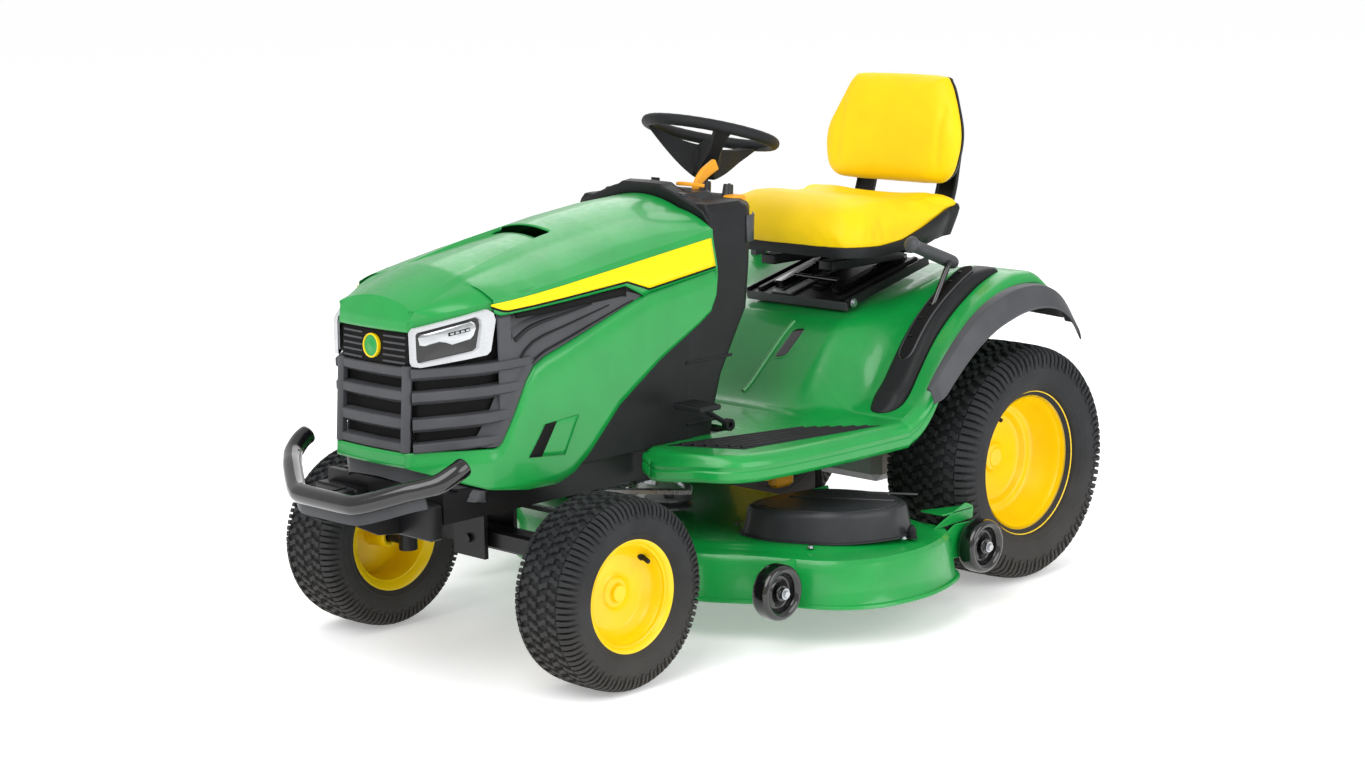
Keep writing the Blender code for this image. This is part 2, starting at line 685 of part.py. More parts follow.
def headlights():
    outline = [(0.1210, -0.9020), (0.2150, -0.7900), (0.2130, -0.7735), (0.1780, -0.7735), (0.1210, -0.8620)]
    lamp = prism(outline, "Z", 0.7000, 0.7735)
    part("headlight_right", mirrored(lamp), "lamp_lens")
    part("headlight_left", lamp, "lamp_lens")


# ---- front end ----
def front_bumper():
    half = [(0.0, -1.055, 0.415), (0.085, -1.051, 0.415), (0.130, -1.028, 0.424), (0.175, -0.996, 0.440)]
    half += [(0.215, -0.962, 0.455), (0.245, -0.925, 0.468), (0.254, -0.885, 0.474)]
    bar = tube([(-x, y, z) for x, y, z in reversed(half[1:])] + half, 0.021, resolution=2)
    stubs = both_apart(block((0.055, -1.050, 0.382), (0.080, -0.900 - GAP, 0.404)))
    part("front_bumper", unite(bar, *stubs), "gloss_black")


def front_valance():
    plan = plan_both([(0.0, -0.922), (0.096, -0.920), (0.183, -0.812), (0.170, -0.800), (0.0, -0.800)])
    body = prism(plan, "Z", 0.4300, 0.4640)
    body = cut(body, both(block((0.086, -1.0, 0.40), (0.103, -0.890, 0.50))))
    ears = both_apart(
        prism([(-0.905, 0.445), (-0.905, 0.431), (-0.945, 0.408), (-0.962, 0.414), (-0.958, 0.428)], "X", 0.1035, 0.1150)
    )
    inner = both_apart(
        prism([(-0.905, 0.445), (-0.905, 0.431), (-0.945, 0.408), (-0.962, 0.414), (-0.958, 0.428)], "X", 0.0740, 0.0855)
    )
    hinge = both_apart(rod((0.074, *HOOD_PIVOT[1:]), (0.115, *HOOD_PIVOT[1:]), 0.005, 12))
    part("front_valance", unite(body, *ears, *inner, *hinge), "grey_plastic")


# ---- dash, fenders and foot deck ----
def dash_console():
    def ring(z, front, rear, half, nose):
        """A plan with rounded rear corners."""
        return [
            (-half, front, z),
            (half, front, z),
            (half, rear - nose, z),
            (half - 0.045, rear - nose * 0.25, z),
            (half * 0.45, rear, z),
            (-half * 0.45, rear, z),
            (-half + 0.045, rear - nose * 0.25, z),
            (-half, rear - nose, z),
        ]

    tower = loft(
        [
            ring(RAIL_TOP + GAP, -0.215, -0.110, 0.205, 0.030),
            ring(0.530, -0.215, -0.075, 0.205, 0.040),
            ring(0.700, -0.200, 0.030, 0.205, 0.050),
            ring(0.880, -0.141, 0.050, 0.207, 0.060),
            ring(0.925, -0.139, 0.058, 0.207, 0.075),
            ring(0.938, -0.135, 0.045, 0.195, 0.075),
        ]
    )
    hump = loft([[(-0.13, -0.136, z), (0.13, -0.136, z), (0.11, y, z), (-0.11, y, z)] for z, y in ((0.92, -0.02), (0.958, -0.05))])
    skirt = prism(
        [(-0.190, 0.780), (-0.190, 0.4255), (-0.560, 0.4255), (-0.560, 0.440), (-0.470, 0.560), (-0.300, 0.690)],
        "X",
        0.192,
        0.204,
    )
    solid = unite(tower, hump, *both_apart(skirt))
    pocket = loft([ring(0.40, -0.205, -0.125, 0.187, 0.02), ring(0.60, -0.205, -0.050, 0.187, 0.03), ring(0.900, -0.180, 0.030, 0.187, 0.05)])
    solid = cut(solid, pocket, rod(shaft_point(0.38), shaft_point(1.05), 0.014))
    pins = both_apart(rod((0.195, *PEDAL_PIVOT[1:]), (0.262, *PEDAL_PIVOT[1:]), 0.006, 12))
    slots = [
        block((THROTTLE_PIVOT[0] - 0.006, -0.100, 0.90), (THROTTLE_PIVOT[0] + 0.006, -0.015, 0.98)),
        block((PTO_PIVOT[0] - 0.006, -0.045, 0.89), (PTO_PIVOT[0] + 0.006, 0.020, 0.95)),
        upright(KEY_PIVOT[0], KEY_PIVOT[1] - 0.025, 0.89, 0.95, 0.0060 + GAP, 12),
    ]
    part("dash_console", cut(unite(solid, *pins), *slots), "black_plastic")


def fender_height(x, y):
    """The top of the foot deck, which rises to the seat pedestal in the middle and the fenders outside."""
    x = abs(x)
    out = smoothstep((x - 0.17) / 0.12)
    start, end = 0.080 + 0.150 * out, 0.340 + 0.180 * out
    top_middle = 0.622 + 0.230 * (y - 0.340)
    top_outer = 0.715 - 1.3 * (y - 0.640) ** 2
    top = top_middle * (1 - out) + top_outer * out
    return FOOT_LEVEL + (top - FOOT_LEVEL) * smoothstep((y - start) / (end - start))


def fender_deck():
    across = [0.0, 0.100, 0.170, 0.208, 0.250, CONSOLE_IN, CONSOLE_OUT, 0.448]
    along = [-0.335, -0.100, 0.060, 0.120, 0.180, *CONSOLE_STATIONS, 0.700, 0.770]
    verts, index = [], {}

    def vert(key, point):
        if key not in index:
            index[key] = len(verts)
            verts.append(point)
        return index[key]

    signed = [-x for x in reversed(across[1:])] + across
    lip_x, lip_drop = FENDER_HALF, 0.044
    columns = [-lip_x] + signed + [lip_x]
    rows = [-0.347] + along + [0.790]

    def place(i, j):
        x, y = columns[i], rows[j]
        inside_x = max(min(x, across[-1]), -across[-1])
        inside_y = max(min(y, along[-1]), along[0])
        z = fender_height(inside_x, inside_y)
        edge = i in (0, len(columns) - 1) or j in (0, len(rows) - 1)
        return (x, y, z - lip_drop if edge else z)

    faces = []
    for i in range(len(columns) - 1):
        for j in range(len(rows) - 1):
            middle = abs(columns[i] + columns[i + 1]) / 2
            if middle < 0.20 and rows[j + 1] <= -0.099:
                continue
            faces.append([vert((a, b), place(a, b)) for a, b in ((i, j), (i + 1, j), (i + 1, j + 1), (i, j + 1))])
    skin = shell(verts, faces, 0.004)
    tower_gap = block((-0.2085, -0.40, 0.30), (0.2085, -0.0745, 0.80))
    cap_x, cap_y = FUEL_CAP
    lever_slot = block((LEVER_SLOT[0], 0.262, 0.40), (LEVER_SLOT[1], 0.615, 0.80))
    neck_hole = upright(cap_x, cap_y, 0.60, 0.80, 0.024)
    part("fender_deck", cut(skin, tower_gap, lever_slot, neck_hole), "green_paint")


def lift_console():
    sections = []
    inner, outer = CONSOLE_IN, CONSOLE_OUT
    for i, y in enumerate(CONSOLE_STATIONS):
        rise = 0.020 if 0 < i < len(CONSOLE_STATIONS) - 1 else 0.012
        low = [fender_height(x, y) + 0.0030 for x in (inner, outer)]
        sections.append(
            [
                (inner, y, low[0]),
                (outer, y, low[1]),
                (outer - 0.006, y, low[1] + rise),
                (inner + 0.006, y, low[0] + rise),
            ]
        )
    bar = loft(sections)
    slot = block((LEVER_SLOT[0], 0.262, 0.40), (LEVER_SLOT[1], 0.615, 0.80))
    part("lift_console", cut(bar, slot), "black_plastic")


def fender_trims():
    """Dark extensions that widen the rear fenders over the tyres."""
    stations = [(0.300, 0.500), (0.360, 0.560), (0.430, 0.625), (0.500, 0.668), (0.600, 0.700), (0.700, 0.690), (0.770, 0.650), (0.800, 0.610)]
    sections = []
    for y, z in stations:
        sections.append([(0.4665, y, z - 0.030), (0.520, y, z - 0.062), (0.520, y, z - 0.050), (0.500, y, z - 0.010), (0.4665, y, z - 0.004)])
    trim = loft(sections)
    part("fender_trim_right", mirrored(trim), "grey_plastic")
    part("fender_trim_left", trim, "grey_plastic")


# ---- mower deck ----
DECK_HALF_PLAN = [(0.0, -0.290), (0.290, -0.273), (0.400, -0.200), (0.545, -0.136), (0.620, -0.020), (0.628, 0.120), (0.598, 0.235), (0.545, 0.290), (0.420, 0.272), (0.0, 0.272)]


def deck_ring(grow, z):
    plan = plan_both(DECK_HALF_PLAN)
    return [(x * (1 + grow / 0.60), y * (1 + grow / 0.28), z) for x, y in plan]


def gauge_places():
    """Each gauge wheel's inner bracket face, and its axle's y."""
    return {"front": (0.478, -0.255), "rear": (0.552, 0.348)}


def deck_shell():
    outer = loft([deck_ring(0.012, DECK_LIP), deck_ring(0.003, 0.112), deck_ring(-0.002, 0.190), deck_ring(-0.022, DECK_TOP)])
    wall = DECK_WALL
    inner = loft([deck_ring(0.012 - wall, DECK_LIP - 0.01), deck_ring(0.003 - wall, 0.112), deck_ring(-0.002 - wall, 0.186), deck_ring(-0.022, DECK_TOP - wall)])
    top = DECK_TOP - 0.002
    extras = []
    for y_low, y_high, x, y in ((-0.282, -0.160, *gauge_places()["front"]), (0.260, 0.375, *gauge_places()["rear"])):
        plate = block((x - 0.010, y_low, 0.118), (x, y_high, 0.200))
        axle = rod((x - 0.005, y, 0.146), (x + 0.062, y, 0.146), 0.007, 12)
        extras += [*both_apart(plate), *both_apart(axle)]
    lug = block((0.2155, 0.185, top), (0.2215, 0.235, 0.252))
    hinge_pin = rod((CHUTE_PIVOT[0], -0.150, CHUTE_PIVOT[2]), (CHUTE_PIVOT[0], 0.150, CHUTE_PIVOT[2]), 0.004, 10)
    ears = [block((-0.650, s * 0.150 - 0.004, 0.190), (-0.585, s * 0.150 + 0.004, 0.222)) for s in (-1, 1)]
    outlet = block((-0.70, -0.130, 0.105), (-0.50, 0.130, 0.180))
    holes = [upright(x, y, 0.15, 0.25, 0.016, 16) for x, y in BLADES.values()]
    body = cut(outer, inner, outlet)
    body = cut(unite(body, *extras, *both_apart(lug), hinge_pin, *ears), *holes)
    part("deck_shell", body, "green_paint")


def spindle_covers():
    outer = [(0.275, -0.095), (0.330, -0.120), (0.500, -0.060), (0.560, 0.060), (0.545, 0.150), (0.430, 0.180), (0.300, 0.120)]

    def ring(z, shrink):
        cx, cy = 0.420, 0.030
        return [(cx + (x - cx) * shrink, cy + (y - cy) * shrink, z) for x, y in outer]

    solid = loft([ring(DECK_TOP + 0.0010, 1.0), ring(0.262, 0.93), ring(0.282, 0.80)])
    hollow = loft([ring(0.20, 0.965), ring(0.262, 0.895), ring(0.278, 0.77)])
    cover = cut(solid, hollow)
    part("spindle_cover_right", mirrored(cover), "black_plastic")
    part("spindle_cover_left", cover, "black_plastic")


def discharge_chute():
    x, _, z = CHUTE_PIVOT
    half = 0.140
    top = prism([(x - 0.004, z - 0.010), (x + 0.004, z + 0.002), (x, z + 0.008), (-0.720, 0.206), (-0.800, 0.150), (-0.800, 0.144), (-0.722, 0.200), (x - 0.006, z - 0.004)], "Y", -half, half)
    cheek = prism([(-0.660, 0.206), (-0.720, 0.203), (-0.798, 0.147), (-0.798, 0.110), (-0.680, 0.110)], "Y", half - 0.006, half)
    other = prism([(-0.660, 0.206), (-0.720, 0.203), (-0.798, 0.147), (-0.798, 0.110), (-0.680, 0.110)], "Y", -half, -half + 0.006)
    barrel = rod((x, -half, z), (x, half, z), 0.010, 12)
    solid = unite(top, barrel, cheek, other)
    solid = cut(solid, rod((x, -0.2, z), (x, 0.2, z), 0.004 + RUNNING, 12))
    part("discharge_chute", solid, "black_plastic", CHUTE_PIVOT)


def gauge_wheels():
    profile = [(0.061, 0.010), (0.061, 0.038), (0.052, 0.046), (0.018, 0.046), (0.0075, 0.040), (0.0075, 0.006), (0.018, 0.001), (0.052, 0.001)]
    for end, (x, y) in gauge_places().items():
        for side, sign in (("left", 1), ("right", -1)):
            if (end, side) == ("rear", "right"):
                continue
            centre = (sign * (x + 0.002), y, 0.146)
            wheel = turned(profile, centre, (sign, 0, 0), 18)
            part(f"gauge_wheel_{end}_{side}", wheel, "black_plastic", centre)


def blades():
    for name, (x, y) in BLADES.items():
        half = BLADE_LENGTH / 2
        bar = block((x - half, y - 0.028, 0.104), (x + half, y + 0.028, 0.109))
        sails = [
            block((x + s * half - (0.09 if s > 0 else 0), y + s * 0.012 - 0.013, 0.106), (x + s * half + (0 if s > 0 else 0.09), y + s * 0.012 + 0.013, 0.122))
            for s in (-1, 1)
        ]
        spindle = turned(
            [(0.0, 0.256), (0.012, 0.256), (0.012, 0.248), (0.055, 0.248), (0.055, 0.243), (0.045, 0.236), (0.055, 0.229), (0.055, 0.224), (0.014, 0.224), (0.014, 0.140), (0.028, 0.136), (0.028, 0.104), (0.010, 0.098), (0.0, 0.098)],
            (x, y, 0),
            steps=16,
        )
        part(name, unite(bar, *sails, spindle), "blade_steel", (x, y, 0.107))


# ---- deck lift ----
def lift_linkage():
    y, z = LIFT_PIVOT[1:]
    shaft = rod((-0.226, y, z), (0.372, y, z), 0.008, 12)
    end_y, end_z = y - LIFT_ARM * math.cos(LIFT_REST), z + LIFT_ARM * math.sin(LIFT_REST)
    arms = []
    for side in (-1, 1):
        a, b = sorted((side * 0.199, side * 0.205))
        along = Vector((end_y - y, end_z - z)).normalized()
        across = Vector((-along.y, along.x)) * 0.011
        tips = [(y, z), (end_y, end_z)]
        outline = [(tips[0][0] - across.x, tips[0][1] - across.y), (tips[1][0] - across.x, tips[1][1] - across.y)]
        outline += [(tips[1][0] + across.x, tips[1][1] + across.y), (tips[0][0] + across.x, tips[0][1] + across.y)]
        bar = prism(outline, "X", a, b)
        pin = rod((side * 0.200, end_y, end_z), (side * 0.214, end_y, end_z), 0.004, 10)
        arms += [bar, pin]
    part("lift_shaft", unite(shaft, *arms), "frame_black", LIFT_PIVOT)
    for name, side in (("lift_link_left", 1), ("lift_link_right", -1)):
        a, b = sorted((side * 0.2065, side * 0.2125))
        bar = block((a, end_y - 0.008, 0.222), (b, end_y + 0.008, end_z + 0.006))
        bar = cut(bar, rod((side * 0.19, end_y, end_z), (side * 0.23, end_y, end_z), 0.004 + RUNNING, 10))
        part(name, bar, "frame_black", (side * 0.2095, end_y, end_z))
    lever_x = 0.356
    rod_route = [(lever_x, y, z), (lever_x, 0.385, 0.560), (lever_x, 0.452, 0.665), (0.352, 0.520, 0.760)]
    lever = tube(rod_route, 0.0070)
    grip = rod((0.352, 0.548, 0.752), (0.325, 0.415, 0.806), 0.0165, 14, 0.0150)
    hub = rod((lever_x - 0.011, y, z), (lever_x + 0.011, y, z), 0.016)
    lever = cut(unite(lever, grip, hub), rod((0.30, y, z), (0.40, y, z), 0.008 + GAP, 12))
    part("lift_lever", lever, "black_plastic", LIFT_PIVOT)


# ---- seat ----
def sloped(shape):
    """Turns a level shape to the pedestal's slope, about the seat's front hinge."""
    return turned_about(shape, SEAT_PIVOT, (1, 0, 0), SEAT_SLOPE)


def seat_plate():
    y, z = SEAT_PIVOT[1:]
    low, high = z + 0.004, z + 0.016
    plate = block((-0.160, y - 0.012, low), (0.160, y + 0.300, high))
    rims = both_apart(block((0.150, y - 0.012, z - 0.010), (0.160, y + 0.300, high)))
    pin = rod((-0.176, y, z), (0.176, y, z), 0.006, 12)
    tracks = both_apart(block((0.085, y + 0.020, high - 0.002), (0.105, y + 0.290, high + 0.014)))
    slots = [block((-0.060 + 0.030 * i, y + 0.030, low - 0.02), (-0.048 + 0.030 * i, y + 0.230, high + 0.02)) for i in range(5)]
    part("seat_plate", sloped(cut(unite(plate, *rims, pin, *tracks), *slots)), "frame_black", SEAT_PIVOT)


def seat():
    y, z = SEAT_PIVOT[1:]
    top = z + 0.030 + GAP
    shoes = both_apart(sloped(block((0.080, y + 0.050, top), (0.110, y + 0.250, top + 0.042))))
    pan = loft(
        [
            [(-0.170, 0.350, 0.742), (0.170, 0.350, 0.742), (0.180, 0.660, 0.752), (-0.180, 0.660, 0.752)],
            [(-0.215, 0.295, 0.778), (0.215, 0.295, 0.778), (0.225, 0.705, 0.782), (-0.225, 0.705, 0.782)],
        ]
    )
    back = loft(
        [
            [(-0.175, 0.795, 0.905), (0.175, 0.795, 0.905), (0.165, 0.820, 0.905), (-0.165, 0.820, 0.905)],
            [(-0.200, 0.812, 1.000), (0.200, 0.812, 1.000), (0.180, 0.850, 1.000), (-0.180, 0.850, 1.000)],
            [(-0.150, 0.838, 1.155), (0.150, 0.838, 1.155), (0.140, 0.865, 1.155), (-0.140, 0.865, 1.155)],
        ]
    )
    arm = prism([(0.640, 0.752), (0.640, 0.772), (0.705, 0.774), (0.728, 0.800), (0.802, 0.930), (0.822, 0.985), (0.842, 0.960), (0.775, 0.820), (0.720, 0.755)], "X", 0.165, 0.180)
    frame = unite(pan, *shoes, back, *both_apart(arm))
    part("seat_pan", frame, "black_plastic", SEAT_PIVOT)


def cushions():
    bottom = 0.7835

    def ring(z, half, front, rear, round_=0.07):
        return [
            (-half + round_, front, z),
            (half - round_, front, z),
            (half, front + round_, z),
            (half, rear - round_, z),
            (half - round_, rear, z),
            (-half + round_, rear, z),
            (-half, rear - round_, z),
            (-half, front + round_, z),
        ]

    pad = loft([ring(bottom, 0.215, 0.290, 0.700), ring(0.820, 0.240, 0.278, 0.712), ring(0.865, 0.232, 0.300, 0.705), ring(0.890, 0.195, 0.345, 0.690)])
    part("seat_cushion", pad, "yellow_vinyl", (0, 0.5, bottom))

    def layer(y, half_low, half_mid, half_top, low, high):
        lean = 0.16
        middle = low + 0.45 * (high - low)
        points = [(-half_low, low), (half_low, low), (half_mid, low + 0.06), (half_mid, middle), (half_top, high - 0.03), (half_top - 0.04, high)]
        points += [(-half_top + 0.04, high), (-half_top, high - 0.03), (-half_mid, middle), (-half_mid, low + 0.06)]
        return [(x, y + lean * (z - 0.90), z) for x, z in points]

    back = loft([layer(0.722, 0.150, 0.175, 0.120, 0.930, 1.135), layer(0.745, 0.180, 0.208, 0.150, 0.908, 1.160), layer(0.786, 0.170, 0.195, 0.145, 0.912, 1.155)])
    part("back_cushion", back, "yellow_vinyl", (0, 0.76, 1.0))


# ---- controls ----
def pedal(x_low, x_high, pad_y, name, finish="black_rubber"):
    y, z = PEDAL_PIVOT[1:]
    side = 1 if x_low > 0 else -1
    hub_low, hub_high = sorted((side * 0.2420, side * 0.2560))
    hub = rod((hub_low, y, z), (hub_high, y, z), 0.014)
    pad = block((x_low, pad_y[0], 0.516), (x_high, pad_y[1], 0.528), 0.003)
    middle = (pad_y[0] + pad_y[1]) / 2
    arm = tube([(side * 0.249, y, z), (side * 0.249, (y + middle) / 2, 0.496), ((x_low + x_high) / 2, middle, 0.518)], 0.006)
    solid = cut(unite(hub, pad, arm), rod((-0.4, y, z), (0.4, y, z), 0.006 + RUNNING, 12))
    part(name, solid, finish, PEDAL_PIVOT)


def pedals():
    pedal(0.245, 0.330, (-0.300, -0.235), "brake_pedal")
    pedal(-0.320, -0.235, (-0.300, -0.235), "forward_pedal")
    y, z = PEDAL_PIVOT[1:]
    hub = rod((-0.2800, y, z), (-0.2580, y, z), 0.014)
    pad = block((-0.400, -0.120, 0.500), (-0.320, -0.055, 0.512), 0.003)
    arm = tube([(-0.269, y, z), (-0.285, -0.110, 0.490), (-0.350, -0.088, 0.503)], 0.006)
    pin_hole = rod((-0.262 - GAP, y, z), (-0.10, y, z), 0.006 + RUNNING, 12)
    part("reverse_pedal", cut(unite(hub, pad, arm), pin_hole), "black_rubber", PEDAL_PIVOT)


def dash_levers():
    x, y, z = THROTTLE_PIVOT
    stem = tube([(x, y, z), (x, y + 0.016, z + 0.040), (x, y + 0.036, z + 0.064)], 0.0045)
    knob = rod((x, y + 0.030, z + 0.058), (x, y + 0.062, z + 0.086), 0.011, 14, 0.009)
    part("throttle_lever", unite(stem, knob), "amber_plastic", THROTTLE_PIVOT)
    x, y, z = PTO_PIVOT
    stem = tube([(x, y, z), (x, y + 0.004, z + 0.050)], 0.0045)
    knob = block((x - 0.014, y - 0.012, z + 0.047), (x + 0.014, y + 0.022, z + 0.064), 0.004)
    part("pto_lever", unite(stem, knob), "amber_plastic", PTO_PIVOT)
    x, y, z = KEY_PIVOT
    barrel = upright(x, y - 0.025, 0.900, 0.946, 0.006, 12)
    bow = block((x - 0.012, y - 0.027, 0.944), (x + 0.012, y - 0.023, 0.968))
    part("ignition_key", unite(barrel, bow), "black_plastic", (x, y - 0.025, 0.946))


chassis_frame()
engine()
tank_and_battery()
transaxle()
wheels()
front_axle()
spindles()
steering_rods()
steering_sector()
steering_wheel()
hood()
grille()
headlights()
front_bumper()
front_valance()
dash_console()
fender_deck()
lift_console()
fender_trims()
deck_shell()
spindle_covers()
discharge_chute()
gauge_wheels()
blades()
lift_linkage()
seat_plate()
seat()
cushions()
pedals()
dash_levers()
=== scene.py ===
# Riding lawn mower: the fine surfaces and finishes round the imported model.
# Lengths are metres. Shapes are given from the machine's own middle, halfway between the axles, and moved to the
# frame's origin as each piece is made. +X is the driver's left and the front faces -Y.
import json
import math

import bmesh
import bpy
import numpy as np
from mathutils import Matrix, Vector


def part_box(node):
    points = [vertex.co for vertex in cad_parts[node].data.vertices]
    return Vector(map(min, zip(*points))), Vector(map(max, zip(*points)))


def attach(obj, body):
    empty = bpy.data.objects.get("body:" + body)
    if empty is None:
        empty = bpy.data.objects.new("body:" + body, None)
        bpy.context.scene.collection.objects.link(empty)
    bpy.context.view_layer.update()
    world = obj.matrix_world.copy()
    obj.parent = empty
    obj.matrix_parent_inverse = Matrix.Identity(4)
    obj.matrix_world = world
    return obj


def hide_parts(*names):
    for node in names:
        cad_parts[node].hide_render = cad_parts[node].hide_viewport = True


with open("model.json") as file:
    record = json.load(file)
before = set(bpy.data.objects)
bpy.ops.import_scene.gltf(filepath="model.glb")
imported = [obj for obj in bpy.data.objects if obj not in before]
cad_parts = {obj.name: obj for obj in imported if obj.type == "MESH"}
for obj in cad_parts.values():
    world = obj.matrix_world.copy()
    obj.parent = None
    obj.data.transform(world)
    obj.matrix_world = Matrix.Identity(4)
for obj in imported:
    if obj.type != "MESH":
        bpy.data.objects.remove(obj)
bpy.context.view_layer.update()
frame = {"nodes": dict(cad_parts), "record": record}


def middleOf(node):
    low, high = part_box(node)
    return (np.array(low) + np.array(high)) / 2


mid = np.array(
    [
        (middleOf("rear_tyre_left")[0] + middleOf("rear_tyre_right")[0]) / 2,
        (middleOf("front_tyre_left")[1] + middleOf("rear_tyre_left")[1]) / 2,
        0.0,
    ]
)


# A shape is a pair: its vertices, and its faces as tuples of vertex numbers.
def patch(points, closeRows=False, closeCols=False):
    # a grid of points (rows, columns, 3) as vertices and quads
    rows, cols = points.shape[:2]
    i = np.arange(rows if closeRows else rows - 1)
    j = np.arange(cols if closeCols else cols - 1)
    i, j = np.meshgrid(i, j, indexing="ij")
    nextI, nextJ = (i + 1) % rows, (j + 1) % cols
    quads = np.stack([i * cols + j, i * cols + nextJ, nextI * cols + nextJ, nextI * cols + j], -1)
    return points.reshape(-1, 3), [tuple(q) for q in quads.reshape(-1, 4).tolist()]


def capped(verts, faces, count):
    # a tube of rings of `count` points with its two ends closed
    last = len(verts) - count
    return verts, faces + [tuple(range(count))[::-1], tuple(range(last, last + count))]


def joined(x, y, z):
    # three arrays of coordinates, stretched to one shape, as points
    return np.stack(np.broadcast_arrays(x, y, z), -1).astype(float)


def basis(axis):
    # two unit vectors square to the axis
    axis = np.asarray(axis, float) / np.linalg.norm(axis)
    other = np.array([0.0, 0.0, 1.0]) if abs(axis[2]) < 0.9 else np.array([0.0, 1.0, 0.0])
    right = np.cross(other, axis)
    right /= np.linalg.norm(right)
    return axis, right, np.cross(axis, right)


def revolve(profile, centre, axis, steps=96, closed=False):
    # each (radius, along) point of the profile goes round the axis: centre + along a + radius (cos r + sin u)
    axis, right, up = basis(axis)
    radius, along = np.asarray(profile, float).T
    turn = np.linspace(0, math.tau, steps, endpoint=False)[:, None, None]
    round_ = np.cos(turn) * right + np.sin(turn) * up
    points = np.asarray(centre) + along[None, :, None] * axis + radius[None, :, None] * round_
    return patch(points, True, closed)


def smoothPath(points, steps=10, closed=False):
    # Catmull-Rom: a cubic between each two points, with its slope from their neighbours
    p = np.asarray(points, float)
    if closed:
        before, here, after, later = np.roll(p, 1, 0), p, np.roll(p, -1, 0), np.roll(p, -2, 0)
    else:
        long = np.vstack([2 * p[0] - p[1], p, 2 * p[-1] - p[-2]])
        before, here, after, later = long[:-3], long[1:-2], long[2:-1], long[3:]
    t = np.linspace(0, 1, steps, endpoint=False)[None, :, None]
    a, b, c, d = (q[:, None, :] for q in (before, here, after, later))
    curve = b + t * (c - a) / 2 + t**2 * (2 * a - 5 * b + 4 * c - d) / 2 + t**3 * (3 * b - a - 3 * c + d) / 2
    curve = curve.reshape(-1, p.shape[1])
    return curve if closed else np.vstack([curve, p[-1:]])


def rounded(outline, radius, steps=5):
    # each corner of a closed outline becomes a short parabola between two points at the radius from it
    p = np.asarray(outline, float)
    back, on = np.roll(p, 1, 0) - p, np.roll(p, -1, 0) - p
    reach = np.minimum(np.minimum(np.linalg.norm(back, axis=1), np.linalg.norm(on, axis=1)) * 0.49, radius)
    start = p + back / np.linalg.norm(back, axis=1)[:, None] * reach[:, None]
    end = p + on / np.linalg.norm(on, axis=1)[:, None] * reach[:, None]
    t = np.linspace(0, 1, steps)[None, :, None]
    curve = (1 - t) ** 2 * start[:, None] + 2 * t * (1 - t) * p[:, None] + t**2 * end[:, None]
    return curve.reshape(-1, p.shape[1])


def grown(outline, amount):
    # the closed outline moved out along the mean of its two edge normals
    p = np.asarray(outline, float)
    edge = np.roll(p, -1, 0) - p
    area = np.sum(p[:, 0] * np.roll(p[:, 1], -1) - np.roll(p[:, 0], -1) * p[:, 1])
    normal = np.stack([edge[:, 1], -edge[:, 0]], 1) * np.sign(area)
    normal /= np.maximum(np.linalg.norm(normal, axis=1), 1e-9)[:, None]
    both = normal + np.roll(normal, 1, 0)
    both /= np.maximum((both**2).sum(1), 0.4)[:, None] / 2
    return p + both * amount


def plate(outline, origin, across, up, low, high, edge=0.0):
    # a flat outline in the plane of across and up, thick from low to high along their normal, its rims chamfered
    across, up = np.asarray(across, float), np.asarray(up, float)
    across, up = across / np.linalg.norm(across), up / np.linalg.norm(up)
    normal = np.cross(across, up)
    rings = [
        (low, -edge), (low + edge, 0.0), (high - edge, 0.0), (high, -edge)
    ] if edge else [(low, 0.0), (high, 0.0)]
    flat = [grown(outline, out) if out else np.asarray(outline, float) for _, out in rings]
    points = np.stack([ring[:, :1] * across + ring[:, 1:] * up + d * normal for ring, (d, _) in zip(flat, rings)])
    return capped(*patch(points + np.asarray(origin), False, True), len(flat[0]))


def sweep(path, section, up=(0, 0, 1), closed=False, scale=None):
    # the section's (side, height) points carried along a path, square to it, with `up` as the upper side
    path = np.asarray(path, float)
    if closed:
        along = np.roll(path, -1, 0) - np.roll(path, 1, 0)
    else:
        along = np.gradient(path, axis=0)
    along /= np.linalg.norm(along, axis=1)[:, None]
    side = np.cross(along, np.asarray(up, float))
    side /= np.linalg.norm(side, axis=1)[:, None]
    over = np.cross(side, along)
    section = np.asarray(section, float)
    size = np.ones(len(path)) if scale is None else np.asarray(scale, float)
    points = path[:, None] + (
        section[None, :, :1] * side[:, None] + section[None, :, 1:] * over[:, None]
    ) * size[:, None, None]
    tube = patch(points, closed, True)
    return tube if closed else capped(*tube, len(section))


def circle(radius, sides=16, flat=1.0):
    turn = np.linspace(0, math.tau, sides, endpoint=False)
    return np.stack([radius * np.cos(turn), radius * flat * np.sin(turn)], 1)


def bar(start, end, radius, sides=24, chamfer=0.001):
    # a round bar with its two rims chamfered
    start, end = np.asarray(start, float), np.asarray(end, float)
    length = np.linalg.norm(end - start)
    c = min(chamfer, radius * 0.4, length * 0.3)
    profile = [(0, 0), (radius - c, 0), (radius, c), (radius, length - c), (radius - c, length), (0, length)]
    return revolve(profile, start, end - start, sides)


def brick(low, high, edge=0.002):
    low, high = np.asarray(low, float), np.asarray(high, float)
    outline = rounded([(low[0], low[1]), (high[0], low[1]), (high[0], high[1]), (low[0], high[1])], edge * 1.5, 3)
    return plate(outline, (0, 0, 0), (1, 0, 0), (0, 1, 0), low[2], high[2], edge)


def hexHead(centre, axis, size, height):
    # a hexagon bolt head on a round washer
    axis, right, up = basis(axis)
    turn = np.linspace(0, math.tau, 6, endpoint=False)
    outline = np.stack([size * np.cos(turn), size * np.sin(turn)], 1)
    head = plate(outline, centre, right, up, 0.0, height, size * 0.12)
    return [head, bar(centre - axis * 0.0012, centre + axis * 0.0008, size * 1.45, 24, 0.0004)]


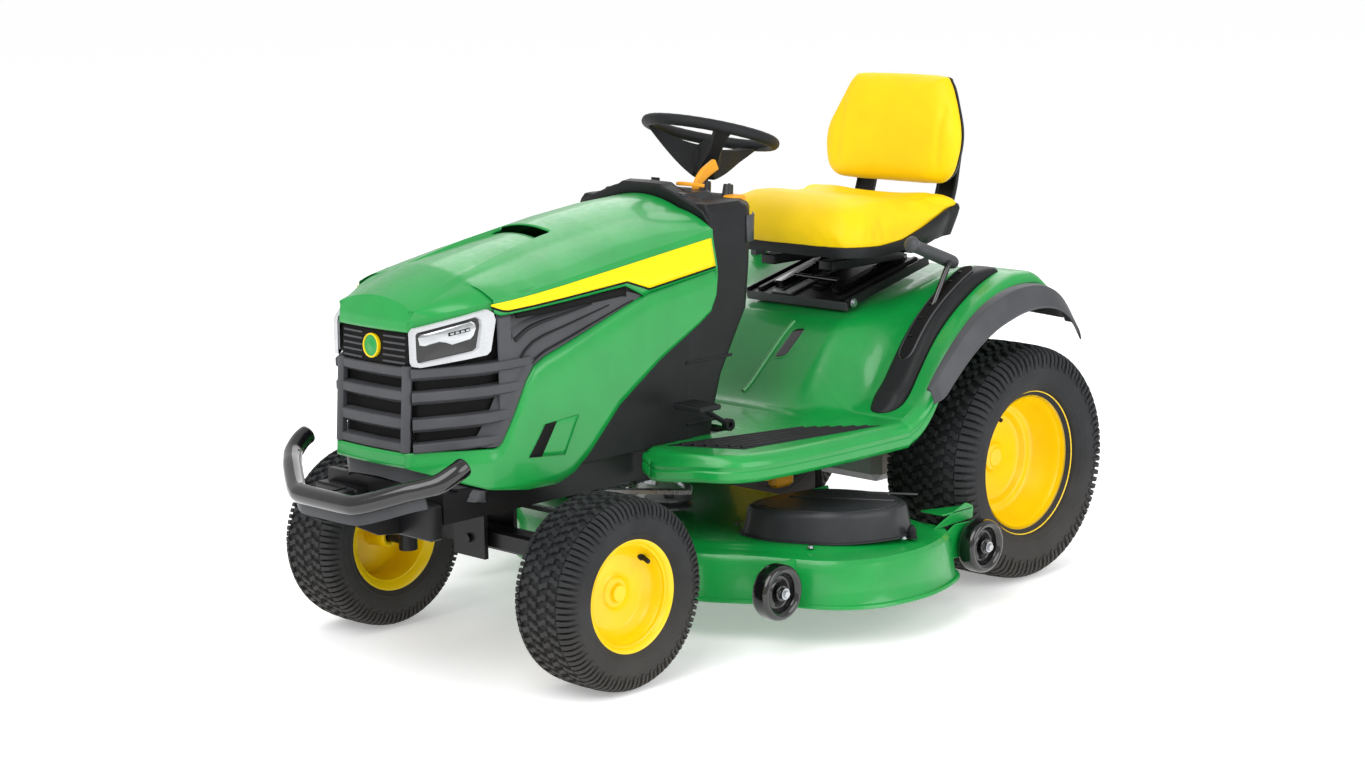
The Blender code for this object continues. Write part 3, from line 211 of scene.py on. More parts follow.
def ribSection(foot, low, top, high, radius, steps):
    # half widths at the foot and the top, with rounded corners
    return rounded([(-foot, low), (foot, low), (top, high), (-top, high)], radius, steps)


def mirrorX(part):
    # the same shape on the other side of the machine, its faces turned to match
    verts, faces = part
    return verts * np.array([-1.0, 1.0, 1.0]), [face[::-1] for face in faces]


def both(parts):
    return parts + [mirrorX(part) for part in parts]


def turnedX(part, centre, angle):
    verts, faces = part
    centre = np.asarray(centre, float)
    c, s = math.cos(angle), math.sin(angle)
    turn = np.array([[1, 0, 0], [0, c, -s], [0, s, c]])
    return (verts - centre) @ turn.T + centre, faces


def smoothstep(t):
    t = np.clip(t, 0, 1)
    return t * t * (3 - 2 * t)


# a point behind each group of open sheets, which says which way they face
core = {"hood": (0, -0.5, 0.6), "nose": (0, -0.6, 0.6), "lamp": (0, -0.8, 0.72), "console": (0.36, 0.5, 0.3)}


def addPiece(name, parts, finish, body, stands=(), wall=0.0, bevel=0.0, smooth=35, inside=None):
    # joins the parts into one mesh, turns its faces outwards and puts it on its body
    counts = np.cumsum([0] + [len(verts) for verts, _ in parts])
    verts = np.concatenate([verts for verts, _ in parts]) + mid
    faces = [tuple(int(v) + int(start) for v in face) for (_, fs), start in zip(parts, counts) for face in fs]
    mesh = bpy.data.meshes.new(name)
    mesh.from_pydata(verts.tolist(), [], faces)
    bm = bmesh.new()
    bm.from_mesh(mesh)
    bmesh.ops.remove_doubles(bm, verts=bm.verts, dist=1e-5)
    bmesh.ops.recalc_face_normals(bm, faces=bm.faces)
    if inside is not None:
        # an open sheet has no inside of its own, so one is given
        centres = np.array([face.calc_center_median() for face in bm.faces]) - (np.asarray(inside) + mid)
        normals = np.array([face.normal * face.calc_area() for face in bm.faces])
        if (centres * normals).sum() < 0:
            bmesh.ops.reverse_faces(bm, faces=bm.faces)
    bm.to_mesh(mesh)
    bm.free()
    piece = bpy.data.objects.new(name, mesh)
    bpy.context.scene.collection.objects.link(piece)
    mesh.materials.append(finishes[finish][0])
    mesh.shade_smooth()
    mesh.set_sharp_from_angle(angle=math.radians(smooth))
    if wall:
        solid = piece.modifiers.new("Wall", "SOLIDIFY")
        solid.thickness, solid.offset = wall, -1.0
        solid.use_even_offset = True
    if bevel:
        edge = piece.modifiers.new("Edge", "BEVEL")
        edge.width, edge.segments, edge.limit_method, edge.angle_limit = bevel, 2, "ANGLE", math.radians(32)
    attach(piece, body)
    if stands:
        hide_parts(*stands)
    return piece


def linear(hexColour):
    value = np.array([int(hexColour[i : i + 2], 16) / 255 for i in (1, 3, 5)])
    value = np.where(value <= 0.04045, value / 12.92, ((value + 0.055) / 1.055) ** 2.4)
    return (*[float(v) for v in value], 1.0)


def addNode(tree, kind, settings=None, inputs=None):
    # one node with its settings, and each input a value or another node's socket
    node = tree.nodes.new(kind)
    for key, value in (settings or {}).items():
        setattr(node, key, value)
    for key, value in (inputs or {}).items():
        if isinstance(value, bpy.types.NodeSocket):
            tree.links.new(value, node.inputs[key])
        else:
            node.inputs[key].default_value = value
    return node


def surface(name, shade, light, rough, grainMm, bump, metallic=0.0, coat=0.0, dirt=0.0):
    # a principled finish: its colour drifts between two near shades over 80 mm, its roughness changes with a
    # noise of the grain's size, and the same noise lifts the surface by `bump` metres
    material = bpy.data.materials.new(name)
    material.use_nodes = True
    tree = material.node_tree
    shader = tree.nodes["Principled BSDF"]
    where = addNode(tree, "ShaderNodeTexCoord").outputs["Object"]
    grain = addNode(tree, "ShaderNodeTexNoise", None, {"Vector": where, "Scale": 1000.0 / grainMm, "Detail": 3.0})
    drift = addNode(tree, "ShaderNodeTexNoise", None, {"Vector": where, "Scale": 12.0, "Detail": 2.0})
    ramp = addNode(tree, "ShaderNodeValToRGB", None, {"Fac": drift.outputs["Fac"]})
    ramp.color_ramp.elements[0].position, ramp.color_ramp.elements[1].position = 0.35, 0.65
    ramp.color_ramp.elements[0].color, ramp.color_ramp.elements[1].color = linear(shade), linear(light)
    colour = ramp.outputs["Color"]
    if dirt:
        # grey dust that has settled where the surface is low on the machine
        split = addNode(tree, "ShaderNodeSeparateXYZ", None, {"Vector": where})
        low = addNode(
            tree, "ShaderNodeMapRange", None,
            {"Value": split.outputs["Z"], "From Min": 0.3, "From Max": 0.0, "To Max": dirt}
        )
        dust = addNode(
            tree, "ShaderNodeMath", {"operation": "MULTIPLY"}, {0: low.outputs["Result"], 1: grain.outputs["Fac"]}
        )
        mix = addNode(tree, "ShaderNodeMix", {"data_type": "RGBA"}, {"Factor": dust.outputs[0]})
        tree.links.new(colour, mix.inputs["A"])
        mix.inputs["B"].default_value = linear("#6e675c")
        colour = mix.outputs["Result"]
    tree.links.new(colour, shader.inputs["Base Color"])
    span = addNode(
        tree, "ShaderNodeMapRange", None,
        {
            "Value": grain.outputs["Fac"], "From Min": 0.3, "From Max": 0.7, "To Min": max(rough - 0.06, 0.02),
            "To Max": rough + 0.06
        }
    )
    tree.links.new(span.outputs["Result"], shader.inputs["Roughness"])
    height = addNode(
        tree, "ShaderNodeBump", None, {"Height": grain.outputs["Fac"], "Distance": bump, "Strength": 1.0}
    )
    tree.links.new(height.outputs["Normal"], shader.inputs["Normal"])
    shader.inputs["Metallic"].default_value = metallic
    shader.inputs["Coat Weight"].default_value = coat
    shader.inputs["Coat Roughness"].default_value = 0.04
    # bare mouldings and rubber reflect less than lacquer does
    shader.inputs["Specular IOR Level"].default_value = 0.5 if metallic or coat else 0.28
    return material


finishes = {
    # baked enamel on pressed steel and moulded panels: deep colour under a clear gloss, a faint orange peel
    "green": (surface("green_enamel", "#0a8f3c", "#0c953f", 0.34, 14.0, 0.00001, coat=0.28), "green_paint"),
    # vinyl decal: flat bright yellow with a soft gloss
    "decal": (surface("yellow_vinyl_decal", "#fbe000", "#fce300", 0.36, 30.0, 0.00001), "yellow_paint"),
    # enamel on spun steel rims
    "rim": (surface("yellow_enamel", "#f2cc00", "#f6d200", 0.34, 8.0, 0.00002, coat=0.12), "yellow_paint"),
    # embossed upholstery vinyl: fine leather grain, soft sheen
    "vinyl": (surface("yellow_seat_vinyl", "#f2ca00", "#f6d000", 0.5, 2.2, 0.00016), "yellow_vinyl"),
    # injection-moulded polypropylene: dark, fine spark-eroded texture
    "black": (surface("moulded_black_plastic", "#151618", "#1b1c1e", 0.5, 1.6, 0.00005), "black_plastic"),
    "grey": (surface("moulded_grey_plastic", "#3c3d40", "#434447", 0.46, 1.8, 0.00005), "grey_plastic"),
    "slat": (surface("moulded_grille_plastic", "#434447", "#4a4b4e", 0.42, 1.8, 0.00004), "black_plastic"),
    # painted shade: a near-black, dull finish for the sheets put in slots, recesses and openings, where there is only
    # shade
    "painted_shade": (surface("painted_shade_black", "#050505", "#070707", 0.8, 2.0, 0.00002), "black_plastic"),
    # powder coat: glossy black with a slight peel
    "gloss": (surface("gloss_black_powder_coat", "#0b0b0c", "#101012", 0.16, 5.0, 0.00004, coat=0.6), "gloss_black"),
    "satin": (surface("satin_black_moulding", "#2a2b2d", "#333437", 0.34, 2.0, 0.00003), "black_plastic"),
    "frame": (surface("satin_black_enamel", "#141416", "#1b1b1d", 0.38, 3.0, 0.00005), "frame_black"),
    "amber": (surface("amber_acetal", "#e79a1c", "#efa526", 0.36, 2.0, 0.00003), "amber_plastic"),
    # filled natural rubber: near black, dull, a little dust low down
    "tyre": (surface("tyre_tread_rubber", "#222325", "#2b2c2e", 0.72, 2.4, 0.00012, dirt=0.35), "tyre_rubber"),
    "rubber": (surface("soft_black_rubber", "#17181a", "#1e1f21", 0.62, 1.4, 0.00008), "black_rubber"),
    "silver": (surface("satin_silver_trim", "#b9bbbe", "#c5c7ca", 0.26, 6.0, 0.00001, coat=0.5), "lamp_lens"),
    "reflector": (
        surface("metallised_reflector", "#b9bcbe", "#cfd2d4", 0.12, 7.0, 0.00006, metallic=0.9), "lamp_lens"
    ),
    "cast": (
        surface("sand_cast_aluminium", "#8d8e90", "#9a9b9d", 0.52, 1.2, 0.00014, metallic=1.0), "cast_aluminium"
    ),
    "stamp": (
        surface("brushed_grey_steel_sheet", "#5f6062", "#6f7072", 0.34, 2.0, 0.00003, metallic=0.6), "frame_black"
    ),
    "steel": (surface("zinc_plated_steel", "#b4b6ba", "#c6c8cc", 0.3, 3.0, 0.00003, metallic=1.0), "bright_steel"),
    "blade": (surface("hardened_blade_steel", "#6e7074", "#7c7e82", 0.42, 1.5, 0.00006, metallic=1.0), "blade_steel"),
}
print("finishes ready")

# camera and studio: the lens and where it stands, in degrees, millimetres and metres
view = {"azimuth": 44.5075, "elevation": 10.5269, "roll": -0.8984, "lens": 68.52, "place": (4.1055, -4.1956, 1.5895)}
studio = {
    "sky": 0.7, "paper": 0.97, "glow": 0.31, "reach": 40.0,
    # name, place, target, diameter, watts
    "lamps": [
        ("key", (1.2, -4.2, 5.2), (0, 0, 0.5), 5.5, 250), ("side", (5.2, 0.6, 2.8), (0, 0, 0.5), 4.0, 100),
        ("rear", (-2.6, 3.8, 4.0), (0, 0, 0.6), 5.0, 90)
    ],
}


def addCamera():
    camera = bpy.data.objects.new("camera", bpy.data.cameras.new("camera"))
    bpy.context.scene.collection.objects.link(camera)
    a, e, r = (math.radians(view[key]) for key in ("azimuth", "elevation", "roll"))
    back = np.array([math.sin(a) * math.cos(e), -math.cos(a) * math.cos(e), math.sin(e)])
    right = np.array([math.cos(a), math.sin(a), 0.0])
    up = np.cross(back, right)
    turn = np.stack([math.cos(r) * right + math.sin(r) * up, math.cos(r) * up - math.sin(r) * right, back], 1)
    place = np.eye(4)
    place[:3, :3] = turn
    place[:3, 3] = np.array(view["place"]) + mid
    camera.matrix_world = Matrix(place.tolist())
    camera.data.lens, camera.data.sensor_width = view["lens"], 36.0
    bpy.context.scene.camera = camera


def areaLight(name, place, target, size, watts):
    lamp = bpy.data.lights.new(name, "AREA")
    lamp.shape, lamp.size, lamp.energy = "DISK", size, watts
    light = bpy.data.objects.new(name, lamp)
    light.location = place
    bpy.context.scene.collection.objects.link(light)
    aim = np.array(target) - np.array(place)
    back, right, up = basis(-aim)
    frame_ = np.eye(4)
    frame_[:3, :3] = np.stack([right, up, back], 1)
    frame_[:3, 3] = place
    light.matrix_world = Matrix(frame_.tolist())


def addStudio():
    world = bpy.context.scene.world or bpy.data.worlds.new("studio")
    bpy.context.scene.world = world
    world.use_nodes = True
    bpy.context.scene.view_settings.view_transform = "Standard"
    sky = world.node_tree.nodes["Background"]
    sky.inputs["Color"].default_value, sky.inputs["Strength"].default_value = (1, 1, 1, 1), studio["sky"]
    floor = bpy.data.objects.new("floor", bpy.data.meshes.new("floor"))
    reach = studio["reach"]
    floor.data.from_pydata(
        [(-reach, -reach, 0), (reach, -reach, 0), (reach, reach, 0), (-reach, reach, 0)], [], [(0, 1, 2, 3)]
    )
    bpy.context.scene.collection.objects.link(floor)
    paper = bpy.data.materials.new("white_paper_floor")
    paper.use_nodes = True
    shader = paper.node_tree.nodes["Principled BSDF"]
    shader.inputs["Base Color"].default_value = (studio["paper"],) * 3 + (1,)
    shader.inputs["Roughness"].default_value = 0.9
    shader.inputs["Emission Color"].default_value = (1, 1, 1, 1)
    shader.inputs["Emission Strength"].default_value = studio["glow"]
    floor.data.materials.append(paper)
    for row in studio["lamps"]:
        areaLight(*row)


addCamera()
addStudio()
print("camera and studio ready")


hood = {
    # the plan at mid height, from the nose's corner round to the rear edge
    "plan": [
        (0.111, -0.934), (0.15, -0.886), (0.19, -0.832), (0.214, -0.79), (0.228, -0.74), (0.236, -0.68), (0.24, -0.6),
        (0.24, -0.145)
    ],
    "low": [
        (-0.934, 0.472), (-0.865, 0.443), (-0.795, 0.418), (-0.71, 0.407), (-0.63, 0.407), (-0.585, 0.424),
        (-0.542, 0.456), (-0.452, 0.547), (-0.33, 0.627), (-0.206, 0.69), (-0.17, 0.712), (-0.152, 0.745),
        (-0.145, 0.79)
    ],
    # the lower edge of the opening for the grille and the side vent
    "sill": [
        (-0.934, 0.502), (-0.78, 0.502), (-0.766, 0.508), (-0.735, 0.572), (-0.705, 0.636), (-0.686, 0.661),
        (-0.655, 0.678), (-0.372, 0.77), (-0.357, 0.776), (-0.145, 0.802)
    ],
    "brow": [
        (-0.934, 0.747), (-0.9, 0.753), (-0.79, 0.785), (-0.762, 0.774), (-0.425, 0.797), (-0.372, 0.7705),
        (-0.357, 0.776), (-0.145, 0.802)
    ],
    "shoulder": [(-0.934, 0.772), (-0.78, 0.806), (-0.145, 0.888)],
    "ridge": [(-0.905, 0.789), (-0.767, 0.838), (-0.6, 0.874), (-0.4, 0.906), (-0.27, 0.921), (-0.145, 0.928)],
    "ridgeX": 0.12,
    "crown": 0.024,
    "wall": 0.003,
    "scoop": {"front": -0.517, "back": -0.49, "depth": 0.011, "start": -0.85, "wide": 0.104, "narrow": 0.078},
}


def table(name, y):
    return np.interp(y, *np.array(hood[name]).T)


def planX(y):
    return np.interp(y, np.array(hood["plan"])[:, 1], np.array(hood["plan"])[:, 0])


def flankX(y, z):
    # the side bulges 4 mm at mid height and leans in towards the shoulder
    return planX(y) - 0.004 * ((z - 0.62) / 0.2) ** 2 - 0.01 * smoothstep((z - 0.8) / 0.08)


def noseBack(z):
    # how far the nose leans back above its lip
    return np.clip((z - 0.472) * 0.07, 0, 0.022)


def hoodColumns():
    joints = [
        -0.934, -0.79, -0.762, -0.705, -0.686, -0.655, -0.517, -0.49, -0.425, -0.372, -0.357, -0.206, -0.17, -0.152,
        -0.145
    ]
    counts = [16, 4, 8, 4, 5, 14, 4, 8, 8, 3, 16, 5, 4, 3]
    return np.concatenate(
        [np.linspace(a, b, n, endpoint=False) for a, b, n in zip(joints, joints[1:], counts)] + [[joints[-1]]]
    )


def scoopHalf(y):
    s = hood["scoop"]
    return np.interp(y, [s["start"], s["front"]], [s["wide"], s["narrow"]])


def topHeight(x, y):
    # the ridge's height plus a crown across, less the sunk panel that deepens from the nose to the scoop
    s = hood["scoop"]
    x = np.abs(x)
    crown = hood["crown"] * (1 - (x / hood["ridgeX"]) ** 2)
    deep = s["depth"] * smoothstep((y - s["start"]) / (s["front"] - s["start"])) * (y < s["back"] - 1e-6)
    inside = smoothstep((scoopHalf(y) - x) / 0.006)
    return table("ridge", y) + crown - deep * inside


def hoodSide():
    # rows from the lower edge to the sill, and from the brow over the shoulder to the ridge
    y = hoodColumns()
    v = np.linspace(0, 1, 14)[:, None]
    low, sill, brow, shoulder = (table(name, y)[None] for name in ("low", "sill", "brow", "shoulder"))
    z = low + (sill - low) * v
    band = smoothstep(1 - (sill - z) / 0.03) * (sill - low > 0.035)  # the panel turns in along the opening
    lower = joined(flankX(y[None], z) - 0.006 * band, y[None] + noseBack(z) * (y < -0.78), z)
    t = np.linspace(0, 1, 6)[:, None]
    z = brow + (shoulder - brow) * t
    upper = joined(flankX(y[None], z), y[None] + noseBack(z) * (y < -0.78), z)
    ridgeY = np.clip(y, -0.905, None)[None]
    ridge = joined(np.minimum(planX(y) + 0.004, hood["ridgeX"])[None], ridgeY, table("ridge", ridgeY))
    s = np.linspace(0, 1, 12)[:, None, None]
    slope = upper[-1:] * (1 - s) + ridge * s
    slope[..., 2] += 0.006 * np.sin(np.pi * s[..., 0]) * smoothstep((y[None] + 0.934) / 0.12)
    return patch(lower), patch(upper), patch(slope), ridge[0]


def hoodTop(ridge):
    # from the ridge to the middle, with lines of the grid along the sunk panel's rim
    y = ridge[:, 1][None]
    edge = scoopHalf(y)
    half = ridge[:, 0][None]
    outer = half + (edge - half) * np.linspace(0, 1, 6)[:, None]
    rim = edge - 0.006 * np.linspace(0, 1, 5)[1:, None]
    inner = (edge - 0.006) * np.linspace(1, 0, 9)[1:, None]
    x = np.concatenate([outer, rim, inner])
    y = np.broadcast_to(y, x.shape)
    verts, faces = patch(joined(x, y, topHeight(x, y)))
    s = hood["scoop"]
    middle = np.array([verts[list(face)].mean(0) for face in faces])
    slot = (middle[:, 1] > s["front"]) & (middle[:, 1] < s["back"]) & (middle[:, 0] < s["narrow"] - 0.004)
    return (verts, [face for face, out in zip(faces, slot) if not out]), x[:, 0]


def hoodNose(x):
    # the front facet between the two corners: the lip under the grille and the brow over it
    v = np.linspace(0, 1, 5)[:, None]
    x = x[None]
    z = 0.472 + 0.03 * v + 0 * x
    wide = x / x.max()
    lip = joined(flankX(-0.934, z) * wide, -0.934 - 0.006 * (1 - wide**2) + noseBack(z), z)
    z = 0.747 + 0.025 * v + 0 * x
    brow = joined(flankX(-0.934, z) * wide, -0.934 - 0.006 * (1 - wide**2) + noseBack(z), z)
    top = joined(0.115 * wide, -0.905, 0.789 + hood["crown"] * (1 - (0.115 * wide / 0.12) ** 2))
    s = np.linspace(0, 1, 5)[:, None, None]
    face = brow[-1:] * (1 - s) + top * s
    return [patch(lip), patch(brow), patch(face)]


def makeHood():
    lower, upper, slope, ridge = hoodSide()
    top, across = hoodTop(ridge)
    parts = both([lower, upper, slope, top, *hoodNose(across)])
    addPiece("hood_panel", parts, "green", "hood", ["hood_shell"], wall=hood["wall"], smooth=22, inside=core["hood"])


def onFlank(y, z, proud):
    return joined(flankX(y, z) + proud, y, z)


def makeStripe():
    # a tapering band under the shoulder crease, with a step down near its rear end, and a painted shadow line below
    # it
    y = np.concatenate(
        [np.linspace(-0.782, -0.425, 30), np.linspace(-0.421, -0.357, 8), np.linspace(-0.35, -0.152, 18)]
    )
    over = np.interp(y, [-0.782, -0.152], [0.798, 0.87])
    under = np.interp(y, [-0.782, -0.752, -0.421, -0.357, -0.152], [0.795, 0.783, 0.807, 0.785, 0.81])
    t = np.linspace(0, 1, 6)[:, None]
    band = patch(onFlank(y[None], under + (over - under) * t, 0.0014))
    addPiece("stripe_decal", both([band]), "decal", "hood", wall=0.001, smooth=40, inside=core["hood"])
    line = patch(onFlank(y[None], under - 0.0045 + 0.0045 * t, 0.0011))
    addPiece("stripe_shadow_line", both([line]), "painted_shade", "hood", wall=0.0007, smooth=40, inside=core["hood"])


def makeScoop():
    s = hood["scoop"]
    x = np.linspace(-s["narrow"] + 0.004, s["narrow"] - 0.004, 24)[None]
    t = np.linspace(0, 1, 5)[:, None]
    y = s["front"] + 0.001 + (s["back"] - s["front"] + 0.004) * t + 0 * x
    z = topHeight(x, s["front"] - 0.001 + 0 * x) - 0.006 - 0.01 * t
    # the scoop's floor is a near-black sheet: painted shade in the slot under the hood's top
    addPiece("scoop_floor", [patch(joined(x, y, z))], "painted_shade", "hood", wall=0.002, inside=core["hood"])


def makeVent():
    # the dark wedge behind the lamp: a sunk panel, three blades on it and a slot along its top
    y = np.concatenate([np.linspace(-0.766, -0.7, 12), np.linspace(-0.695, -0.372, 40)])
    low, high = table("sill", y) - 0.003, table("brow", y) + 0.003
    low = np.minimum(low, high - 0.001)
    t = np.linspace(0, 1, 12)[:, None]
    z = low + (high - low) * t
    sunk = -0.007 - 0.01 * smoothstep((t - 0.72) / 0.1) * (y > -0.735)
    addPiece(
        "side_vent_panel", both([patch(onFlank(y[None], z, sunk))]), "slat", "hood", wall=0.002, smooth=30,
        inside=core["hood"]
    )
    blades = []
    for start, end, part, thick in (
        (-0.728, -0.52, 0.7, 0.012), (-0.716, -0.47, 0.42, 0.007), (-0.69, -0.4, 0.1, 0.006)
    ):
        y = np.linspace(start, end, 24)
        low, high = table("sill", y), table("brow", y)
        centre = low + (high - low) * part
        path = np.stack([flankX(y, centre) - 0.006, y, centre], -1)
        section = rounded(
            [(-0.005, -thick / 2), (0.004, -thick / 3), (0.004, thick / 3), (-0.005, thick / 2)], 0.001, 3
        )
        blades.append(sweep(path, section, scale=np.interp(y, [start, end], [1.0, 0.35])))
    addPiece("side_vent_blades", both(blades), "black", "hood", smooth=30)
    # the slot along the top is a near-black sheet: painted shade
    y = np.linspace(-0.725, -0.42, 30)
    high = table("brow", y) - 0.001
    t = np.linspace(0, 1, 3)[:, None]
    deep = np.interp(y, [-0.725, -0.42], [0.012, 0.02])
    addPiece(
        "side_vent_slot", both([patch(onFlank(y[None], high - deep * t, -0.0045))]), "painted_shade", "hood", wall=0.001,
        inside=core["hood"]
    )


def makeLowerVent():
    # a slanted pocket low on the flank: a slot whose near-black sheet is painted shade, and a ramp that comes out
    # behind it
    corners = np.array([(-0.706, 0.474), (-0.664, 0.538), (-0.572, 0.545), (-0.612, 0.466)])
    t = np.linspace(0, 1, 10)[None, :, None]
    low = corners[0] + (corners[3] - corners[0]) * t[0]
    high = corners[1] + (corners[2] - corners[1]) * t[0]
    s = np.linspace(0, 1, 8)[:, None, None]
    flat = low[None] * (1 - s) + high[None] * s
    ramp = 0.0008 + 0.0014 * t[..., 0]
    parts = [patch(onFlank(flat[..., 0], flat[..., 1], ramp))]
    addPiece("lower_vent_ramp", both(parts), "green", "hood", wall=0.001, smooth=30, inside=core["hood"])
    slot = flat[:, :4]
    addPiece(
        "lower_vent_slot", both([patch(onFlank(slot[..., 0], slot[..., 1], 0.0022))]), "painted_shade", "hood", wall=0.001,
        inside=core["hood"]
    )


makeHood()
makeStripe()
makeScoop()
makeVent()
makeLowerVent()
print("hood ready")

# wheels: a carcass, tread blocks laid on it, shoulder ribs, a pressed rim and a valve stem
tyres = {
    "step": 0.0022,
    "front": {
        "profile": [
            (0.1165, 0.066), (0.119, 0.0715), (0.127, 0.0775), (0.14, 0.0815), (0.156, 0.0822), (0.17, 0.0795),
            (0.182, 0.0735), (0.1895, 0.063), (0.1925, 0.048), (0.1938, 0.024), (0.1942, 0.0)
        ],
        "depth": 0.008, "columns": 4, "columnWidth": 0.0265, "around": 50,
        "ribs": 92, "ribEnd": 0.164, "ringAt": (0.13, 0.16),
    },
    "rear": {
        "profile": [
            (0.1715, 0.0985), (0.1745, 0.106), (0.185, 0.113), (0.202, 0.1185), (0.222, 0.12), (0.24, 0.1175),
            (0.255, 0.11), (0.2635, 0.096), (0.267, 0.074), (0.2685, 0.037), (0.269, 0.0)
        ],
        "depth": 0.0098, "columns": 6, "columnWidth": 0.03, "around": 58, "ribs": 96, "ribEnd": 0.228, "ringAt": (
            0.188, 0.224
        ),
    },
}
rims = {
    "front": {
        "face": [
            (0.0, 0.034), (0.015, 0.034), (0.018, 0.031), (0.02, 0.024), (0.03, 0.022), (0.036, 0.017), (0.05, 0.014),
            (0.074, 0.015), (0.082, 0.019), (0.092, 0.03), (0.098, 0.044), (0.1015, 0.052), (0.106, 0.056),
            (0.11, 0.064), (0.115, 0.069), (0.1185, 0.0705), (0.1205, 0.068)
        ],
        "back": [
            (0.118, 0.064), (0.105, 0.057), (0.1015, 0.05), (0.1, -0.05), (0.105, -0.057), (0.118, -0.064),
            (0.1205, -0.068), (0.118, -0.0705), (0.109, -0.066), (0.1, -0.058), (0.096, -0.05), (0.095, 0.012),
            (0.08, 0.01), (0.036, 0.008), (0.026, 0.002), (0.024, -0.05), (0.012, -0.052), (0.0105, -0.03),
            (0.0105, 0.01), (0.0, 0.01)
        ],
        "valve": (0.03, 0.066, 0.066, 0.03),
    },
    "rear": {
        "face": [
            (0.0, 0.004), (0.02, 0.004), (0.024, 0.001), (0.032, -0.002), (0.04, -0.01), (0.07, -0.014),
            (0.1, -0.012), (0.108, -0.004), (0.114, 0.004), (0.128, 0.007), (0.136, 0.02), (0.146, 0.045),
            (0.152, 0.07), (0.157, 0.08), (0.164, 0.088), (0.169, 0.0965), (0.1735, 0.0985), (0.1755, 0.0955)
        ],
        "back": [
            (0.172, 0.091), (0.158, 0.082), (0.154, 0.074), (0.152, -0.074), (0.158, -0.082), (0.172, -0.091),
            (0.1755, -0.0955), (0.1735, -0.0985), (0.162, -0.09), (0.15, -0.08), (0.146, -0.072), (0.144, -0.016),
            (0.11, -0.02), (0.036, -0.022), (0.03, -0.08), (0.0185, -0.082), (0.016, -0.06), (0.016, -0.0205),
            (0.0, -0.0205)
        ],
        "valve": (0.012, -0.03, 0.108, 0.03),
    },
}


def sampled(profile):
    # a smooth profile from the bead to the middle of the tread, with its arc length from the middle and its normals
    line = smoothPath(profile, 24)[::-1]
    arc = np.concatenate([[0], np.cumsum(np.linalg.norm(np.diff(line, axis=0), axis=1))])
    s = np.arange(0, arc[-1], tyres["step"])
    line = np.stack([np.interp(s, arc, line[:, k]) for k in (0, 1)], 1)
    along = np.gradient(line, axis=0)
    normal = np.stack([along[:, 1], -along[:, 0]], 1)
    normal *= np.sign(normal[0, 0])
    return s, line, normal / np.linalg.norm(normal, axis=1)[:, None]


def onTyre(shape, centre, sign, s, turn, lift):
    # arc length across, angle round and height above the carcass, all arrays of one shape, as points
    arc, line, normal = shape
    side = np.sign(s) + (s == 0)
    place = [np.interp(np.abs(s), arc, line[:, k]) + lift * np.interp(np.abs(s), arc, normal[:, k]) for k in (0, 1)]
    return np.asarray(centre) + joined(sign * side * place[1], place[0] * np.cos(turn), place[0] * np.sin(turn))


def treadLugs(shape, centre, sign, outlines, turns, depth, tops):
    # each outline of (across, angle) points: rings at the foot, the wall's top and the chamfer, then a flat face
    outlines, turns = np.asarray(outlines), np.asarray(turns)
    count, corners = outlines.shape[:2]
    middle = outlines.mean(1, keepdims=True), turns.mean(1, keepdims=True)
    rings = []
    for shrink, lift in ((1.04, -0.0012), (0.93, depth - 0.001), (0.84, depth)):
        s = middle[0] + (outlines - middle[0]) * shrink
        t = middle[1] + (turns - middle[1]) * shrink
        rings.append(onTyre(shape, centre, sign, s, t, lift * (tops if lift > 0 else 1.0)))
    points = np.stack(rings, 1)
    first = np.arange(count)[:, None] * corners * 3
    i = np.arange(corners)
    quads = []
    for ring in (0, 1):
        a, b = ring * corners + i, ring * corners + (i + 1) % corners
        quads.append(np.stack([first + a, first + b, first + b + corners, first + a + corners], -1).reshape(-1, 4))
    faces = [tuple(q) for q in np.concatenate(quads).tolist()] + [
        tuple(q) for q in (first + 2 * corners + i).tolist()
    ]
    return points.reshape(-1, 3), faces


